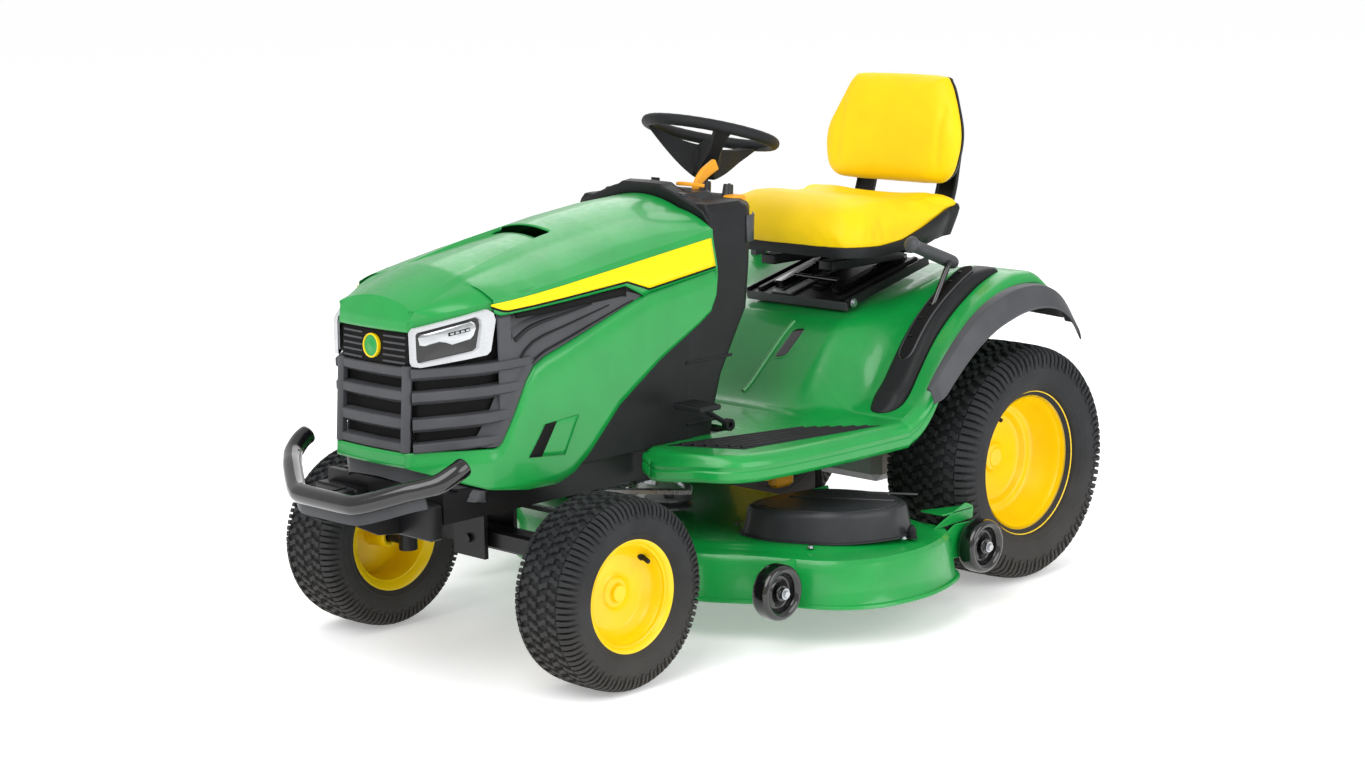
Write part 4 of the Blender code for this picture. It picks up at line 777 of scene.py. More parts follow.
def makeTyre(end, side, sign, phase):
    spec = tyres[end]
    name = f"{end}_tyre_{side}"
    centre = middleOf(name) - mid
    shape = sampled(spec["profile"])
    crown = spec["profile"][-1][0]
    line = smoothPath(spec["profile"], 6)
    for at, tall in zip(spec["ringAt"], (0.0012, 0.0008)):
        # two moulded rings on each sidewall
        near = (np.abs(line[:, 0] - at) < 0.0018) & (line[:, 1] > spec["profile"][4][1] * 0.9)
        line[near, 1] += tall
    inner = [
        (crown - 0.014, 0.0), (crown - 0.016, spec["profile"][7][1]),
        (spec["profile"][0][0] - 0.012, spec["profile"][0][1] - 0.01)
    ]
    half = np.vstack([inner, line])
    parts = [revolve(np.vstack([half, (half * [1, -1])[::-1]]), centre, (sign, 0, 0), 160, closed=True)]
    pitch = math.tau / spec["around"]
    w = spec["columnWidth"]
    block = np.array(
        [(-0.5, -0.44), (-0.16, -0.44), (0.14, -0.2), (0.5, -0.2), (0.5, 0.3), (0.2, 0.3), (-0.1, 0.06), (-0.5, 0.06)]
    )
    for column in range(spec["columns"]):
        flip = 1 if column % 2 else -1
        s = (column + 0.5 - spec["columns"] / 2) * w + block[:, 0] * flip * w * 0.9
        turn = np.arange(spec["around"])[:, None] * pitch + (block[None, :, 1] + 0.5 * (column % 2)) * pitch + phase
        parts.append(treadLugs(shape, centre, sign, np.broadcast_to(s, turn.shape), turn, spec["depth"], 1.0))
    arc, curve, _ = shape
    start = spec["columns"] / 2 * w + 0.001
    finish = float(np.interp(-spec["ribEnd"], -curve[:, 0], arc))
    step = math.tau / spec["ribs"]
    for hand in (-1, 1):
        odd = np.arange(spec["ribs"]) % 2
        length = np.array(
            [0.0, 0.22, 0.48, 0.74, 1.0, 1.0, 0.74, 0.48, 0.22, 0.0]
        )[None] * (finish - start - 0.007 * odd[:, None]) + start
        wide = np.array([-0.36, -0.34, -0.29, -0.27, -0.24, 0.24, 0.27, 0.29, 0.34, 0.36])[None] * step
        turn = (np.arange(spec["ribs"])[:, None] + 0.3 * hand) * step + wide + phase
        tops = np.array([1.0, 1.0, 0.92, 0.62, 0.24, 0.24, 0.62, 0.92, 1.0, 1.0])[None]
        parts.append(ribStrip(shape, centre, sign, hand * length, turn, spec["depth"] * tops))
    addPiece(name.replace("tyre", "turf_tyre"), parts, "tyre", f"{end}_wheel_{side}", [name], smooth=28)


def ribStrip(shape, centre, sign, s, turn, lift):
    # a rib of five stations: its foot and top on each side, closed at both ends
    count = len(s)
    foot = onTyre(shape, centre, sign, s, turn + np.array([-1] * 5 + [1] * 5)[None] * 0.0012, -0.0012 + 0 * lift)
    top = onTyre(shape, centre, sign, s, turn, lift + 0 * s)
    points = np.concatenate([foot, top], 1)
    first = np.arange(count)[:, None] * 20
    i = np.arange(10)
    wall = np.stack([i, (i + 1) % 10, (i + 1) % 10 + 10, i + 10], -1)
    roof = np.array([(10 + k, 11 + k, 18 - k, 19 - k) for k in range(4)])
    faces = np.concatenate([wall, roof])
    return points.reshape(-1, 3), [tuple(q) for q in (first[:, :, None] + faces[None]).reshape(-1, 4).tolist()]


def makeRim(end, side, sign):
    spec = rims[end]
    name = f"{end}_rim_{side}"
    tyre = middleOf(f"{end}_tyre_{side}") - mid
    face = smoothPath(spec["face"], 5)
    back = smoothPath(spec["back"], 3)
    face[:, 0], back[:, 0] = np.maximum(face[:, 0], 0), np.maximum(back[:, 0], 0)
    body = f"{end}_wheel_{side}"
    addPiece(
        name.replace("rim", "pressed_rim"), [revolve(np.vstack([face, back]), tyre, (sign, 0, 0), 96)], "rim", body,
        [name], smooth=40
    )
    x, y, z, long = spec["valve"]
    root = tyre + np.array([sign * x, y, z])
    tip = root + np.array([sign * long, 0, 0]) * 0.94 + np.array([0, -y, -z]) * 0.1
    stem = [
        bar(root, tip, 0.005, 20, 0.0015),
        bar(root - (tip - root) * 0.15, root + (tip - root) * 0.25, 0.0085, 24, 0.003)
    ]
    addPiece(f"{end}_valve_stem_{side}", stem, "rubber", body, smooth=30)


for end in ("front", "rear"):
    for number, (side, sign) in enumerate((("left", 1), ("right", -1))):
        makeTyre(end, side, sign, 0.4 * number)
        makeRim(end, side, sign)
print("wheels ready")

# seat: two padded cushions on a dark pan and back shell, two straps between them and a slotted base plate
seat = {
    "padOutline": [
        (-0.15, 0.29), (0.15, 0.29), (0.228, 0.33), (0.243, 0.43), (0.246, 0.56), (0.243, 0.65), (0.2, 0.705),
        (-0.2, 0.705), (-0.243, 0.65), (-0.246, 0.56), (-0.243, 0.43), (-0.228, 0.33)
    ],
    "padEdge": [(0.28, 0.8), (0.4, 0.796), (0.48, 0.803), (0.56, 0.826), (0.64, 0.856), (0.71, 0.872)],
    "padTop": [(0.28, 0.868), (0.33, 0.89), (0.39, 0.899), (0.45, 0.896), (0.54, 0.88), (0.62, 0.878), (0.71, 0.892)],
    "padFoot": [(0.28, 0.784), (0.42, 0.786), (0.52, 0.796), (0.64, 0.832), (0.71, 0.85)],
    "backOutline": [
        (-0.12, 0.908), (0.12, 0.908), (0.183, 0.925), (0.203, 0.975), (0.203, 1.03), (0.18, 1.09), (0.15, 1.145),
        (0.11, 1.16), (-0.11, 1.16), (-0.15, 1.145), (-0.18, 1.09), (-0.203, 1.03), (-0.203, 0.975), (-0.183, 0.925)
    ],
    "backMiddle": (0.0, 0.762, 1.034),
    "lean": 0.175,
    "voxel": 0.0055,
    "pressure": 4.0,
    "cap": 0.009,
    "backCap": 0.003,
}


def disc(outline, rings=16, steps=12):
    # rings of points that shrink from a smooth outline to its middle: (ring share, x, y)
    line = smoothPath(np.asarray(outline, float), steps, closed=True)
    centre = (line.min(0) + line.max(0)) / 2
    share = np.sqrt(np.maximum(np.cos(np.linspace(0, math.pi / 2, rings)), 0))
    share[-1] = 0.0
    return share[:, None], centre + (line[None] - centre) * share[:, None, None]


def padShape():
    # the sheet over the top and the one under it, met along the edge line
    share, flat = disc(seat["padOutline"], 18, 10)
    x, y = flat[..., 0], flat[..., 1]
    edge, top, foot = (np.interp(y, *np.array(seat[key]).T) for key in ("padEdge", "padTop", "padFoot"))
    dip = 0.01 * smoothstep((0.17 - np.abs(x)) / 0.13) * smoothstep((y - 0.42) / 0.12)
    round_ = np.sqrt(np.clip(1 - share**6, 0, 1))
    upper = joined(x, y, edge + (top - edge - dip) * round_)
    lower = joined(x * 0.985, y, edge - (edge - foot) * np.sqrt(np.clip(1 - share**14, 0, 1)))
    return [patch(upper, False, True), patch(lower, False, True)]


def backShape(front=0.036, rear=0.02, grow=0.0, depth=0.0):
    # the pad stands on its outline, leaning back, thicker in front than behind
    share, flat = disc(grown(seat["backOutline"], grow) if grow else seat["backOutline"], 18, 8)
    x, z = flat[..., 0], flat[..., 1]
    middle = seat["backMiddle"]
    plane = middle[1] + seat["lean"] * (z - middle[2]) + depth + 0.018 * (x / 0.2) ** 2 * -1.0
    face = joined(x, plane - front * np.sqrt(np.clip(1 - share**5, 0, 1)), z)
    behind = joined(x, plane + rear * np.sqrt(np.clip(1 - share**9, 0, 1)), z)
    return [patch(face, False, True), patch(behind, False, True)]


def puffed(piece, held, cap):
    # voxels even out the mesh, cloth blows it up a little, and no point goes further than the cap
    remesh = piece.modifiers.new("Voxel", "REMESH")
    remesh.mode, remesh.voxel_size = "VOXEL", seat["voxel"]
    graph = bpy.context.evaluated_depsgraph_get()
    even = bpy.data.meshes.new_from_object(piece.evaluated_get(graph))
    piece.modifiers.clear()
    piece.data = even
    before = np.empty(len(even.vertices) * 3)
    even.vertices.foreach_get("co", before)
    before = before.reshape(-1, 3)
    pins = piece.vertex_groups.new(name="held")
    pins.add(np.nonzero(held(before - mid))[0].tolist(), 1.0, "REPLACE")
    cloth = piece.modifiers.new("Cloth", "CLOTH")
    cloth.settings.use_pressure = True
    cloth.settings.uniform_pressure_force = seat["pressure"]
    cloth.settings.effector_weights.gravity = 0
    cloth.settings.vertex_group_mass = "held"
    cloth.settings.quality = 5
    cloth.settings.tension_stiffness = cloth.settings.compression_stiffness = 40
    cloth.point_cache.frame_start, cloth.point_cache.frame_end = 1, 20
    for step in range(1, 21):
        bpy.context.scene.frame_set(step)
    graph = bpy.context.evaluated_depsgraph_get()
    blown = piece.evaluated_get(graph).to_mesh()
    after = np.empty(len(blown.vertices) * 3)
    blown.vertices.foreach_get("co", after)
    piece.evaluated_get(graph).to_mesh_clear()
    bpy.context.scene.frame_set(1)
    piece.modifiers.clear()
    piece.vertex_groups.clear()
    moved = after.reshape(-1, 3) - before
    far = np.linalg.norm(moved, axis=1, keepdims=True)
    before = before + moved * np.minimum(1, cap / np.maximum(far, 1e-9))
    return before


def makeCushion(name, parts, body, node, held, creases, cap):
    piece = addPiece(name, parts, "vinyl", body, [node], smooth=180)
    points = puffed(piece, held, cap)
    points = points + creases(points - mid)
    piece.data.vertices.foreach_set("co", points.reshape(-1))
    piece.data.update()
    piece.data.materials.clear()
    piece.data.materials.append(finishes["vinyl"][0])
    piece.data.shade_smooth()
    soft = piece.modifiers.new("Smooth", "SMOOTH")
    soft.iterations, soft.factor = 6, 0.5
    round_ = piece.modifiers.new("Subdivision", "SUBSURF")
    round_.levels = round_.render_levels = 1
    return piece


def padCreases(p):
    # a shallow sewn channel follows each side of the seat, 70 mm in from the edge
    near = np.exp(
        -(((np.abs(p[:, 0]) - 0.172) / 0.009) ** 2)
    ) * smoothstep((p[:, 1] - 0.34) / 0.08) * smoothstep((0.69 - p[:, 1]) / 0.06)
    up = smoothstep((p[:, 2] - 0.855) / 0.015)
    return joined(0.0, 0.0, -0.0045 * near * up)


def backCreases(p):
    near = np.exp(
        -(((np.abs(p[:, 0]) - 0.158) / 0.008) ** 2)
    ) * smoothstep((p[:, 2] - 0.925) / 0.05) * smoothstep((1.13 - p[:, 2]) / 0.05)
    plane = seat["backMiddle"][1] + seat["lean"] * (p[:, 2] - seat["backMiddle"][2])
    front = smoothstep((plane - p[:, 1] - 0.008) / 0.01)
    return joined(0.0, 0.0055 * near * front, 0.0)


def makeShells():
    # the pan's bowl under the seat cushion, and the shell behind the backrest
    line = smoothPath(np.array(seat["padOutline"]), 10, closed=True)
    centre = np.array([0.0, 0.5])
    edge = np.interp(line[:, 1], *np.array(seat["padEdge"]).T)
    rings = []
    for share, level in (
        (0.972, 0.0), (0.992, -0.002), (0.999, -0.01), (0.985, -0.026), (0.93, None), (0.8, None), (0.0, None)
    ):
        flat = centre + (line - centre) * share
        deep = {0.93: 0.779, 0.8: 0.775, 0.0: 0.775}.get(share)
        z = edge + level if level is not None else np.full(len(line), deep) + 0.1 * np.clip(flat[:, 1] - 0.52, 0, 1)
        rings.append(joined(flat[:, 0], flat[:, 1], z))
    bowl = patch(np.stack(rings), False, True)
    addPiece("seat_pan_bowl", [bowl], "black", "seat", ["seat_pan"], wall=0.004, smooth=50, inside=(0, 0.5, 0.8))
    addPiece("backrest_shell", backShape(-0.004, 0.028, 0.0015, 0.006), "black", "seat", smooth=50)
    path = smoothPath(
        [
            (0.0, 0.6, 0.757), (0.0, 0.68, 0.772), (0.0, 0.722, 0.79), (0.0, 0.757, 0.83), (0.0, 0.782, 0.885),
            (0.0, 0.795, 0.94), (0.0, 0.808, 1.0)
        ],
        8
    )
    section = rounded(
        [
            (-0.029, -0.006), (0.029, -0.006), (0.029, 0.006), (0.024, 0.006), (0.021, 0.001), (-0.021, 0.001),
            (-0.024, 0.006), (-0.029, 0.006)
        ],
        0.002, 3
    )
    straps = []
    for side in (-1, 1):
        straps.append(sweep(path + [side * 0.128, 0, 0], section, up=(0, -1, 0.2)))
        for height in (0.865, 0.905):
            y = float(np.interp(height, path[:, 2], path[:, 1])) - 0.001
            straps += hexHead(np.array([side * 0.128, y - 0.002, height]), np.array([0, -0.93, 0.37]), 0.006, 0.004)
    addPiece("backrest_straps", straps, "frame", "seat", smooth=35)
    under = [brick((-0.115, 0.375, 0.728), (-0.07, 0.64, 0.752)), brick((0.07, 0.375, 0.728), (0.115, 0.64, 0.752))]
    addPiece("seat_slide_channels", under, "frame", "seat", bevel=0.001)


def sloped(part):
    # turned to the pedestal's slope about the seat's front hinge
    return turnedX(part, (0, 0.386, 0.652), math.radians(13.3))


def makeSeatPlate():
    y, z = 0.386, 0.656
    base = [brick((-0.16, y - 0.012, z), (0.16, y + 0.298, z + 0.004), 0.0015)]
    lip = brick((-0.16, y - 0.016, z - 0.016), (0.16, y - 0.01, z + 0.005), 0.002)
    sides = both([brick((0.154, y - 0.012, z - 0.01), (0.162, y + 0.298, z + 0.012), 0.002)])
    ribs = both([brick((0.12, y, z + 0.002), (0.136, y + 0.29, z + 0.012), 0.003)])
    addPiece(
        "seat_base_plate", [sloped(part) for part in (*base, *sides, *ribs)], "frame", "seat_plate", ["seat_plate"],
        smooth=35
    )
    addPiece("seat_base_lip", [sloped(lip)], "grey", "seat_plate", smooth=35)
    stamped = [brick((-0.086, y - 0.008, z + 0.004), (-0.02, y + 0.23, z + 0.009), 0.002)]
    addPiece("seat_stamping", [sloped(part) for part in stamped], "stamp", "seat_plate", smooth=35)
    # the slots are near-black bricks laid on the stamping: painted shade
    slots = [
        brick((-0.076, y + 0.015, z + 0.0085), (-0.067, y + 0.14, z + 0.0096), 0.0004),
        brick((-0.058, y + 0.002, z + 0.0085), (-0.049, y + 0.18, z + 0.0096), 0.0004)
    ]
    slots += [
        brick((-0.041, y + 0.09 + 0.017 * i, z + 0.0085), (-0.028, y + 0.099 + 0.017 * i, z + 0.0096), 0.0004)
        for i in range(8)
    ]
    addPiece("seat_stamping_slots", [sloped(part) for part in slots], "painted_shade", "seat_plate", smooth=35)
    tracks = both([brick((0.078, y + 0.03, z + 0.004), (0.108, y + 0.285, z + 0.02), 0.003)])
    tracks.append(bar((-0.06, y + 0.06, z + 0.03), (0.09, y + 0.045, z + 0.034), 0.0045))
    tracks.append(brick((0.02, y + 0.02, z + 0.01), (0.058, y + 0.06, z + 0.022), 0.004))
    addPiece("seat_tracks", [sloped(part) for part in tracks], "gloss", "seat_plate", smooth=35)
    bolts = []
    for side in (-1, 1):
        bolts += hexHead(np.array([side * 0.166, 0.39, 0.656]), np.array([side, 0, 0]), 0.0075, 0.006)
    bolts.append(sloped(brick((-0.01, y + 0.075, z + 0.02), (0.016, y + 0.105, z + 0.027), 0.003)))
    addPiece("seat_pivot_bolts", bolts, "steel", "seat_plate", smooth=35)


makeCushion(
    "seat_cushion_padded", padShape(), "seat", "seat_cushion",
    lambda p: p[:, 2] < np.interp(p[:, 1], *np.array(seat["padFoot"]).T) + 0.008, padCreases, seat["cap"]
)
makeCushion(
    "backrest_cushion_padded", backShape(0.038, 0.018, 0.006), "seat", "back_cushion",
    lambda p: p[:, 1] > seat["backMiddle"][1] + seat["lean"] * (p[:, 2] - 1.034) + 0.01, backCreases, seat["backCap"]
)
makeShells()
makeSeatPlate()
print("seat ready")

# fenders and foot deck: one moulded sheet over the pedestal, the wheel arches and the two foot wells
fender = {
    "pedestal": [
        (-0.35, 0.433), (0.08, 0.433), (0.12, 0.438), (0.15, 0.45), (0.185, 0.476), (0.23, 0.523), (0.275, 0.57),
        (0.31, 0.602), (0.335, 0.618), (0.37, 0.629), (0.66, 0.694), (0.752, 0.706)
    ],
    "arch": [
        (-0.35, 0.433), (0.18, 0.433), (0.23, 0.437), (0.27, 0.452), (0.305, 0.48), (0.34, 0.525), (0.385, 0.58),
        (0.43, 0.622), (0.49, 0.662), (0.56, 0.698), (0.63, 0.721), (0.68, 0.724), (0.715, 0.716), (0.752, 0.69)
    ],
    "inner": 0.165, "outer": 0.3,
    "side": [
        (-0.35, 0.226), (-0.34, 0.3), (-0.323, 0.362), (-0.3, 0.404), (-0.265, 0.43), (-0.2, 0.448), (-0.05, 0.46),
        (0.15, 0.463), (0.752, 0.463)
    ],
    "wall": 0.0035,
}


def fenderTop(x, y):
    # the two side profiles blended across, less a rounding that drops the sheet near its outer edge
    x = np.abs(x)
    out = smoothstep((x - fender["inner"]) / (fender["outer"] - fender["inner"]))
    low, high = (np.interp(y, *smoothPath(np.array(fender[key]), 6).T) for key in ("pedestal", "arch"))
    side = np.interp(y, *smoothPath(np.array(fender["side"]), 6).T)
    edge = np.clip((x - (side - 0.028)) / 0.028, 0, 1)
    lowY = np.clip((-0.322 - y) / 0.025, 0, 1)
    return low * (1 - out) + high * out - 0.014 * edge**2 - 0.01 * lowY**2


def makeFenders():
    y = np.concatenate([np.linspace(-0.35, -0.3, 24), np.linspace(-0.293, 0.1, 44), np.linspace(0.107, 0.752, 104)])
    side = np.interp(y, *smoothPath(np.array(fender["side"]), 6).T)
    share = np.concatenate([np.linspace(0, 0.9, 60), np.linspace(0.91, 1.0, 14)])
    x = side[None] * share[:, None]
    y = np.broadcast_to(y, x.shape)
    sheet = joined(x, y, fenderTop(x, y))
    rim = sheet[-1]
    out = np.stack([np.gradient(rim[:, 1]), -np.gradient(rim[:, 0]), 0 * rim[:, 0]], 1)
    out /= np.linalg.norm(out, axis=1)[:, None]
    skirt = []
    for push, drop in (
        (0.002, 0.004), (0.004, 0.01), (0.0025, 0.014), (0.0022, 0.019), (0.0045, 0.022), (0.0045, 0.036),
        (0.002, 0.04), (0.0, 0.0445)
    ):
        skirt.append(rim + out * push + np.array([0, 0, -drop]))
    sheet = np.concatenate([sheet, np.stack(skirt)])
    verts, faces = patch(sheet)
    middle = np.array([verts[list(face)].mean(0) for face in faces])
    tower = (middle[:, 0] < 0.2085) & (middle[:, 1] < -0.06)
    faces = [face for face, out_ in zip(faces, tower) if not out_]
    front = sheet[:, 0]
    lipRows = [
        front + [0, -0.002, -0.004], front + [0, -0.004, -0.01], front + [0, -0.0022, -0.016],
        front + [0, -0.0045, -0.022], front + [0, -0.0045, -0.036], front + [0, 0, -0.0445]
    ]
    keep = (front[:, 0] > 0.2)[: len(share)]
    band = np.stack([front[: len(share)][keep]] + [row[: len(share)][keep] for row in lipRows])
    back = sheet[:, -1][: len(share)]
    tail = np.stack([back, back + [0, 0.003, -0.012], back + [0, 0.003, -0.04]])
    parts = both([(verts, faces), patch(band), patch(tail)])
    addPiece(
        "fender_and_foot_deck", parts, "green", "chassis", ["fender_deck"], wall=fender["wall"], smooth=30,
        inside=(0, 0.2, 0.2)
    )


def onFender(x, y, lift):
    return joined(x, y, fenderTop(x, y) + lift)


def makeMats():
    # a ribbed mat in each foot well, on a sunk dark plate
    corners = np.array([(0.228, -0.3), (0.38, -0.222), (0.44, 0.16), (0.318, 0.03)])
    t = np.linspace(0, 1, 30)[:, None, None]
    s = np.linspace(0, 1, 12)[None, :, None]
    near, far = corners[0] + (corners[3] - corners[0]) * t, corners[1] + (corners[2] - corners[1]) * t
    flat = near * (1 - s) + far * s
    parts = [patch(onFender(flat[..., 0], flat[..., 1], 0.0012))]
    addPiece("foot_mat_base", both(parts), "rubber", "chassis", wall=0.0025, smooth=30, inside=(0, 0, 0.2))
    ribs = []
    for place in np.linspace(0.1, 0.9, 6):
        a, b = corners[0] + (corners[1] - corners[0]) * place, corners[3] + (corners[2] - corners[3]) * place
        line = a + (b - a) * np.linspace(0.04, 0.96, 24)[:, None]
        path = onFender(line[:, 0], line[:, 1], 0.002)
        ribs.append(sweep(path, ribSection(0.0055, -0.001, 0.0035, 0.003, 0.0008, 3)))
    addPiece("foot_mat_ribs", both(ribs), "rubber", "chassis", smooth=30)


def makePedestalTrim():
    # a raised rib and a dark oblong sight window on the pedestal's sloping face
    y = np.linspace(0.165, 0.318, 30)
    path = onFender(0.018 + 0.16 * (y - 0.165), y, 0.0005)
    section = ribSection(0.006, -0.003, 0.004, 0.005, 0.0015, 3)
    addPiece("pedestal_rib", [sweep(path, section)], "green", "chassis", smooth=40)
    outline = rounded([(0.05, 0.238), (0.082, 0.246), (0.092, 0.304), (0.061, 0.298)], 0.01, 6)
    for name, grow, lift, finish in (
        ("sight_window_rim", 0.0035, 0.0014, "green"), ("sight_window", 0.0, 0.0022, "gloss")
    ):
        share, flat = disc(grown(outline, grow), 6, 1)
        sheet = onFender(flat[..., 0], flat[..., 1], lift + 0.0006 * (1 - share**8))
        addPiece(name, [patch(sheet, False, True)], finish, "chassis", wall=0.002, smooth=40, inside=(0, 0.4, 0.2))


def makeConsole():
    # the lift lever's console: a rounded hump along the arch with a slot in its top
    y = np.concatenate([np.linspace(0.24, 0.29, 16), np.linspace(0.297, 0.64, 60)])
    half = 0.046 * np.sqrt(
        np.clip(1 - ((0.295 - y) / 0.055).clip(0, 1) ** 2, 0.0, 1)
    ) * np.interp(y, [0.24, 0.45, 0.64], [1.0, 0.94, 0.8])
    middle = 0.362
    v = np.linspace(-1, 1, 25)[:, None]
    x = middle + half[None] * v
    tall = 0.03 * np.interp(y, [0.24, 0.275, 0.56, 0.64], [0.1, 1.0, 1.0, 0.35])[None]
    lift = tall * np.clip(1 - np.abs(v) ** 5, 0, 1) - 0.001
    base = fenderTop(np.broadcast_to(x, lift.shape), np.broadcast_to(y[None], lift.shape))
    addPiece(
        "lift_console_cover", [patch(joined(x, y[None], base + lift))], "black", "chassis", ["lift_console"],
        wall=0.002, smooth=40, inside=core["console"]
    )
    ys = np.linspace(0.335, 0.585, 40)
    # the slot's near-black recess under its rim is painted shade
    for name, wide, lift, finish in (
        ("lift_slot_rim", 0.0215, 0.0306, "slat"), ("lift_slot_recess", 0.0165, 0.0318, "painted_shade")
    ):
        ends = np.sqrt(
            np.clip(1 - ((0.355 - ys) / 0.02).clip(0, 1) ** 2, 0.02, 1)
        ) * np.sqrt(np.clip(1 - ((ys - 0.565) / 0.02).clip(0, 1) ** 2, 0.02, 1))
        v = np.linspace(-1, 1, 9)[:, None]
        x = 0.358 + wide * ends[None] * v
        z = fenderTop(0.358 + 0 * x, np.broadcast_to(ys[None], x.shape)) + lift
        addPiece(
            name, [patch(joined(x, ys[None], z))], finish, "chassis", wall=0.0012, smooth=40, inside=core["console"]
        )
    notches = []
    for place in np.linspace(0.375, 0.555, 6):
        z = float(fenderTop(np.array(0.358), np.array(place))) + 0.0335
        notches.append(brick((0.3465, place - 0.006, z - 0.004), (0.3565, place + 0.006, z), 0.0015))
    addPiece("lift_slot_notches", notches, "black", "chassis", smooth=35)


def makeTrims():
    # a dark flared extension over each rear tyre: sections across, carried along the arch, with a pale chamfer
    rows = np.array(
        [
            (0.292, 0.502), (0.32, 0.534), (0.36, 0.574), (0.41, 0.617), (0.46, 0.651), (0.52, 0.679), (0.59, 0.697),
            (0.66, 0.7), (0.72, 0.688), (0.765, 0.662), (0.8, 0.622), (0.812, 0.598)
        ]
    )
    rows = smoothPath(rows, 6)
    t = np.linspace(0, 1, len(rows))
    wide = np.interp(t, [0, 0.06, 0.5, 0.9, 1], [0.024, 0.034, 0.044, 0.052, 0.05])
    drop = np.interp(t, [0, 0.1, 0.5, 1], [0.02, 0.03, 0.034, 0.028])
    section = np.array(
        [
            (0.0, -0.004), (0.22, 0.0), (0.5, -0.14), (0.62, -0.5), (1.0, -1.55), (0.98, -1.75), (0.9, -1.7),
            (0.55, -0.66), (0.4, -0.34), (0.0, -0.3)
        ]
    )
    points = joined(
        0.4655 + section[None, :, 0] * wide[:, None], rows[:, None, 0] + 0 * section[None, :, 0],
        rows[:, None, 1] + section[None, :, 1] * drop[:, None]
    )
    left = capped(*patch(points, False, True), len(section))
    addPiece("fender_flare_left", [left], "slat", "chassis", ["fender_trim_left"], bevel=0.0012, smooth=25)
    addPiece("fender_flare_right", [mirrorX(left)], "slat", "chassis", ["fender_trim_right"], bevel=0.0012, smooth=25)
    # the flare's rear wing runs inwards behind the fender
    path = smoothPath(
        [(0.4655, 0.735, 0.676), (0.4655, 0.765, 0.658), (0.4655, 0.795, 0.622), (0.4655, 0.809, 0.596)], 8
    )
    s = np.linspace(0, 1, 12)[:, None, None]
    bridge = patch(path + s * np.array([-0.2, 0, 0.01]) + np.array([0, 0, 0.004]))
    addPiece("fender_rear_wing", both([bridge]), "slat", "chassis", wall=0.003, smooth=40, inside=(0.4, 0.6, 0.4))


makeFenders()
makeMats()
makePedestalTrim()
makeConsole()
makeTrims()
print("fenders ready")

# mower deck: a pressed shell with a rolled lip, covers over its pulleys, gauge wheels and their brackets
deckShape = {
    "gauges": {"front": (0.478, -0.255), "rear": (0.552, 0.348)},
    "wall": 0.0035,
    "plan": [
        (0.0, -0.29), (0.17, -0.287), (0.29, -0.268), (0.4, -0.205), (0.545, -0.138), (0.612, -0.06), (0.634, 0.03),
        (0.632, 0.12), (0.602, 0.222), (0.552, 0.284), (0.48, 0.282), (0.3, 0.272), (0.0, 0.272)
    ],
    "rings": [
        (0.985, 0.0905), (1.006, 0.09), (1.012, 0.0935), (1.008, 0.0985), (0.998, 0.101), (0.994, 0.106),
        (0.988, 0.13), (0.982, 0.165), (0.974, 0.185), (0.96, 0.1935), (0.935, 0.197), (0.9, 0.1985), (0.87, 0.203),
        (0.84, 0.209), (0.8, 0.2105), (0.5, 0.2105), (0.0, 0.2105)
    ],
    "cover": [
        (0.262, -0.1), (0.335, -0.128), (0.42, -0.105), (0.508, -0.052), (0.556, 0.04), (0.56, 0.095), (0.53, 0.16),
        (0.43, 0.186), (0.3, 0.13), (0.262, 0.03)
    ],
    "coverRings": [
        (1.04, 0.2115), (1.04, 0.2145), (1.0, 0.216), (0.965, 0.242), (0.945, 0.264), (0.925, 0.273), (0.885, 0.278),
        (0.85, 0.278), (0.835, 0.276), (0.825, 0.279), (0.6, 0.2805), (0.0, 0.2805)
    ],
}


def deckRing():
    half = np.array(deckShape["plan"])
    return smoothPath(np.vstack([half, (half * [-1, 1])[::-1][1:-1]]), 10, closed=True)


def ringsOf(line, centre, rings):
    return np.stack(
        [
            joined(
                centre[0] + (line[:, 0] - centre[0]) * s, centre[1] + (line[:, 1] - centre[1]) * s,
                np.full(len(line), z)
            )
            for s, z in rings
        ]
    )


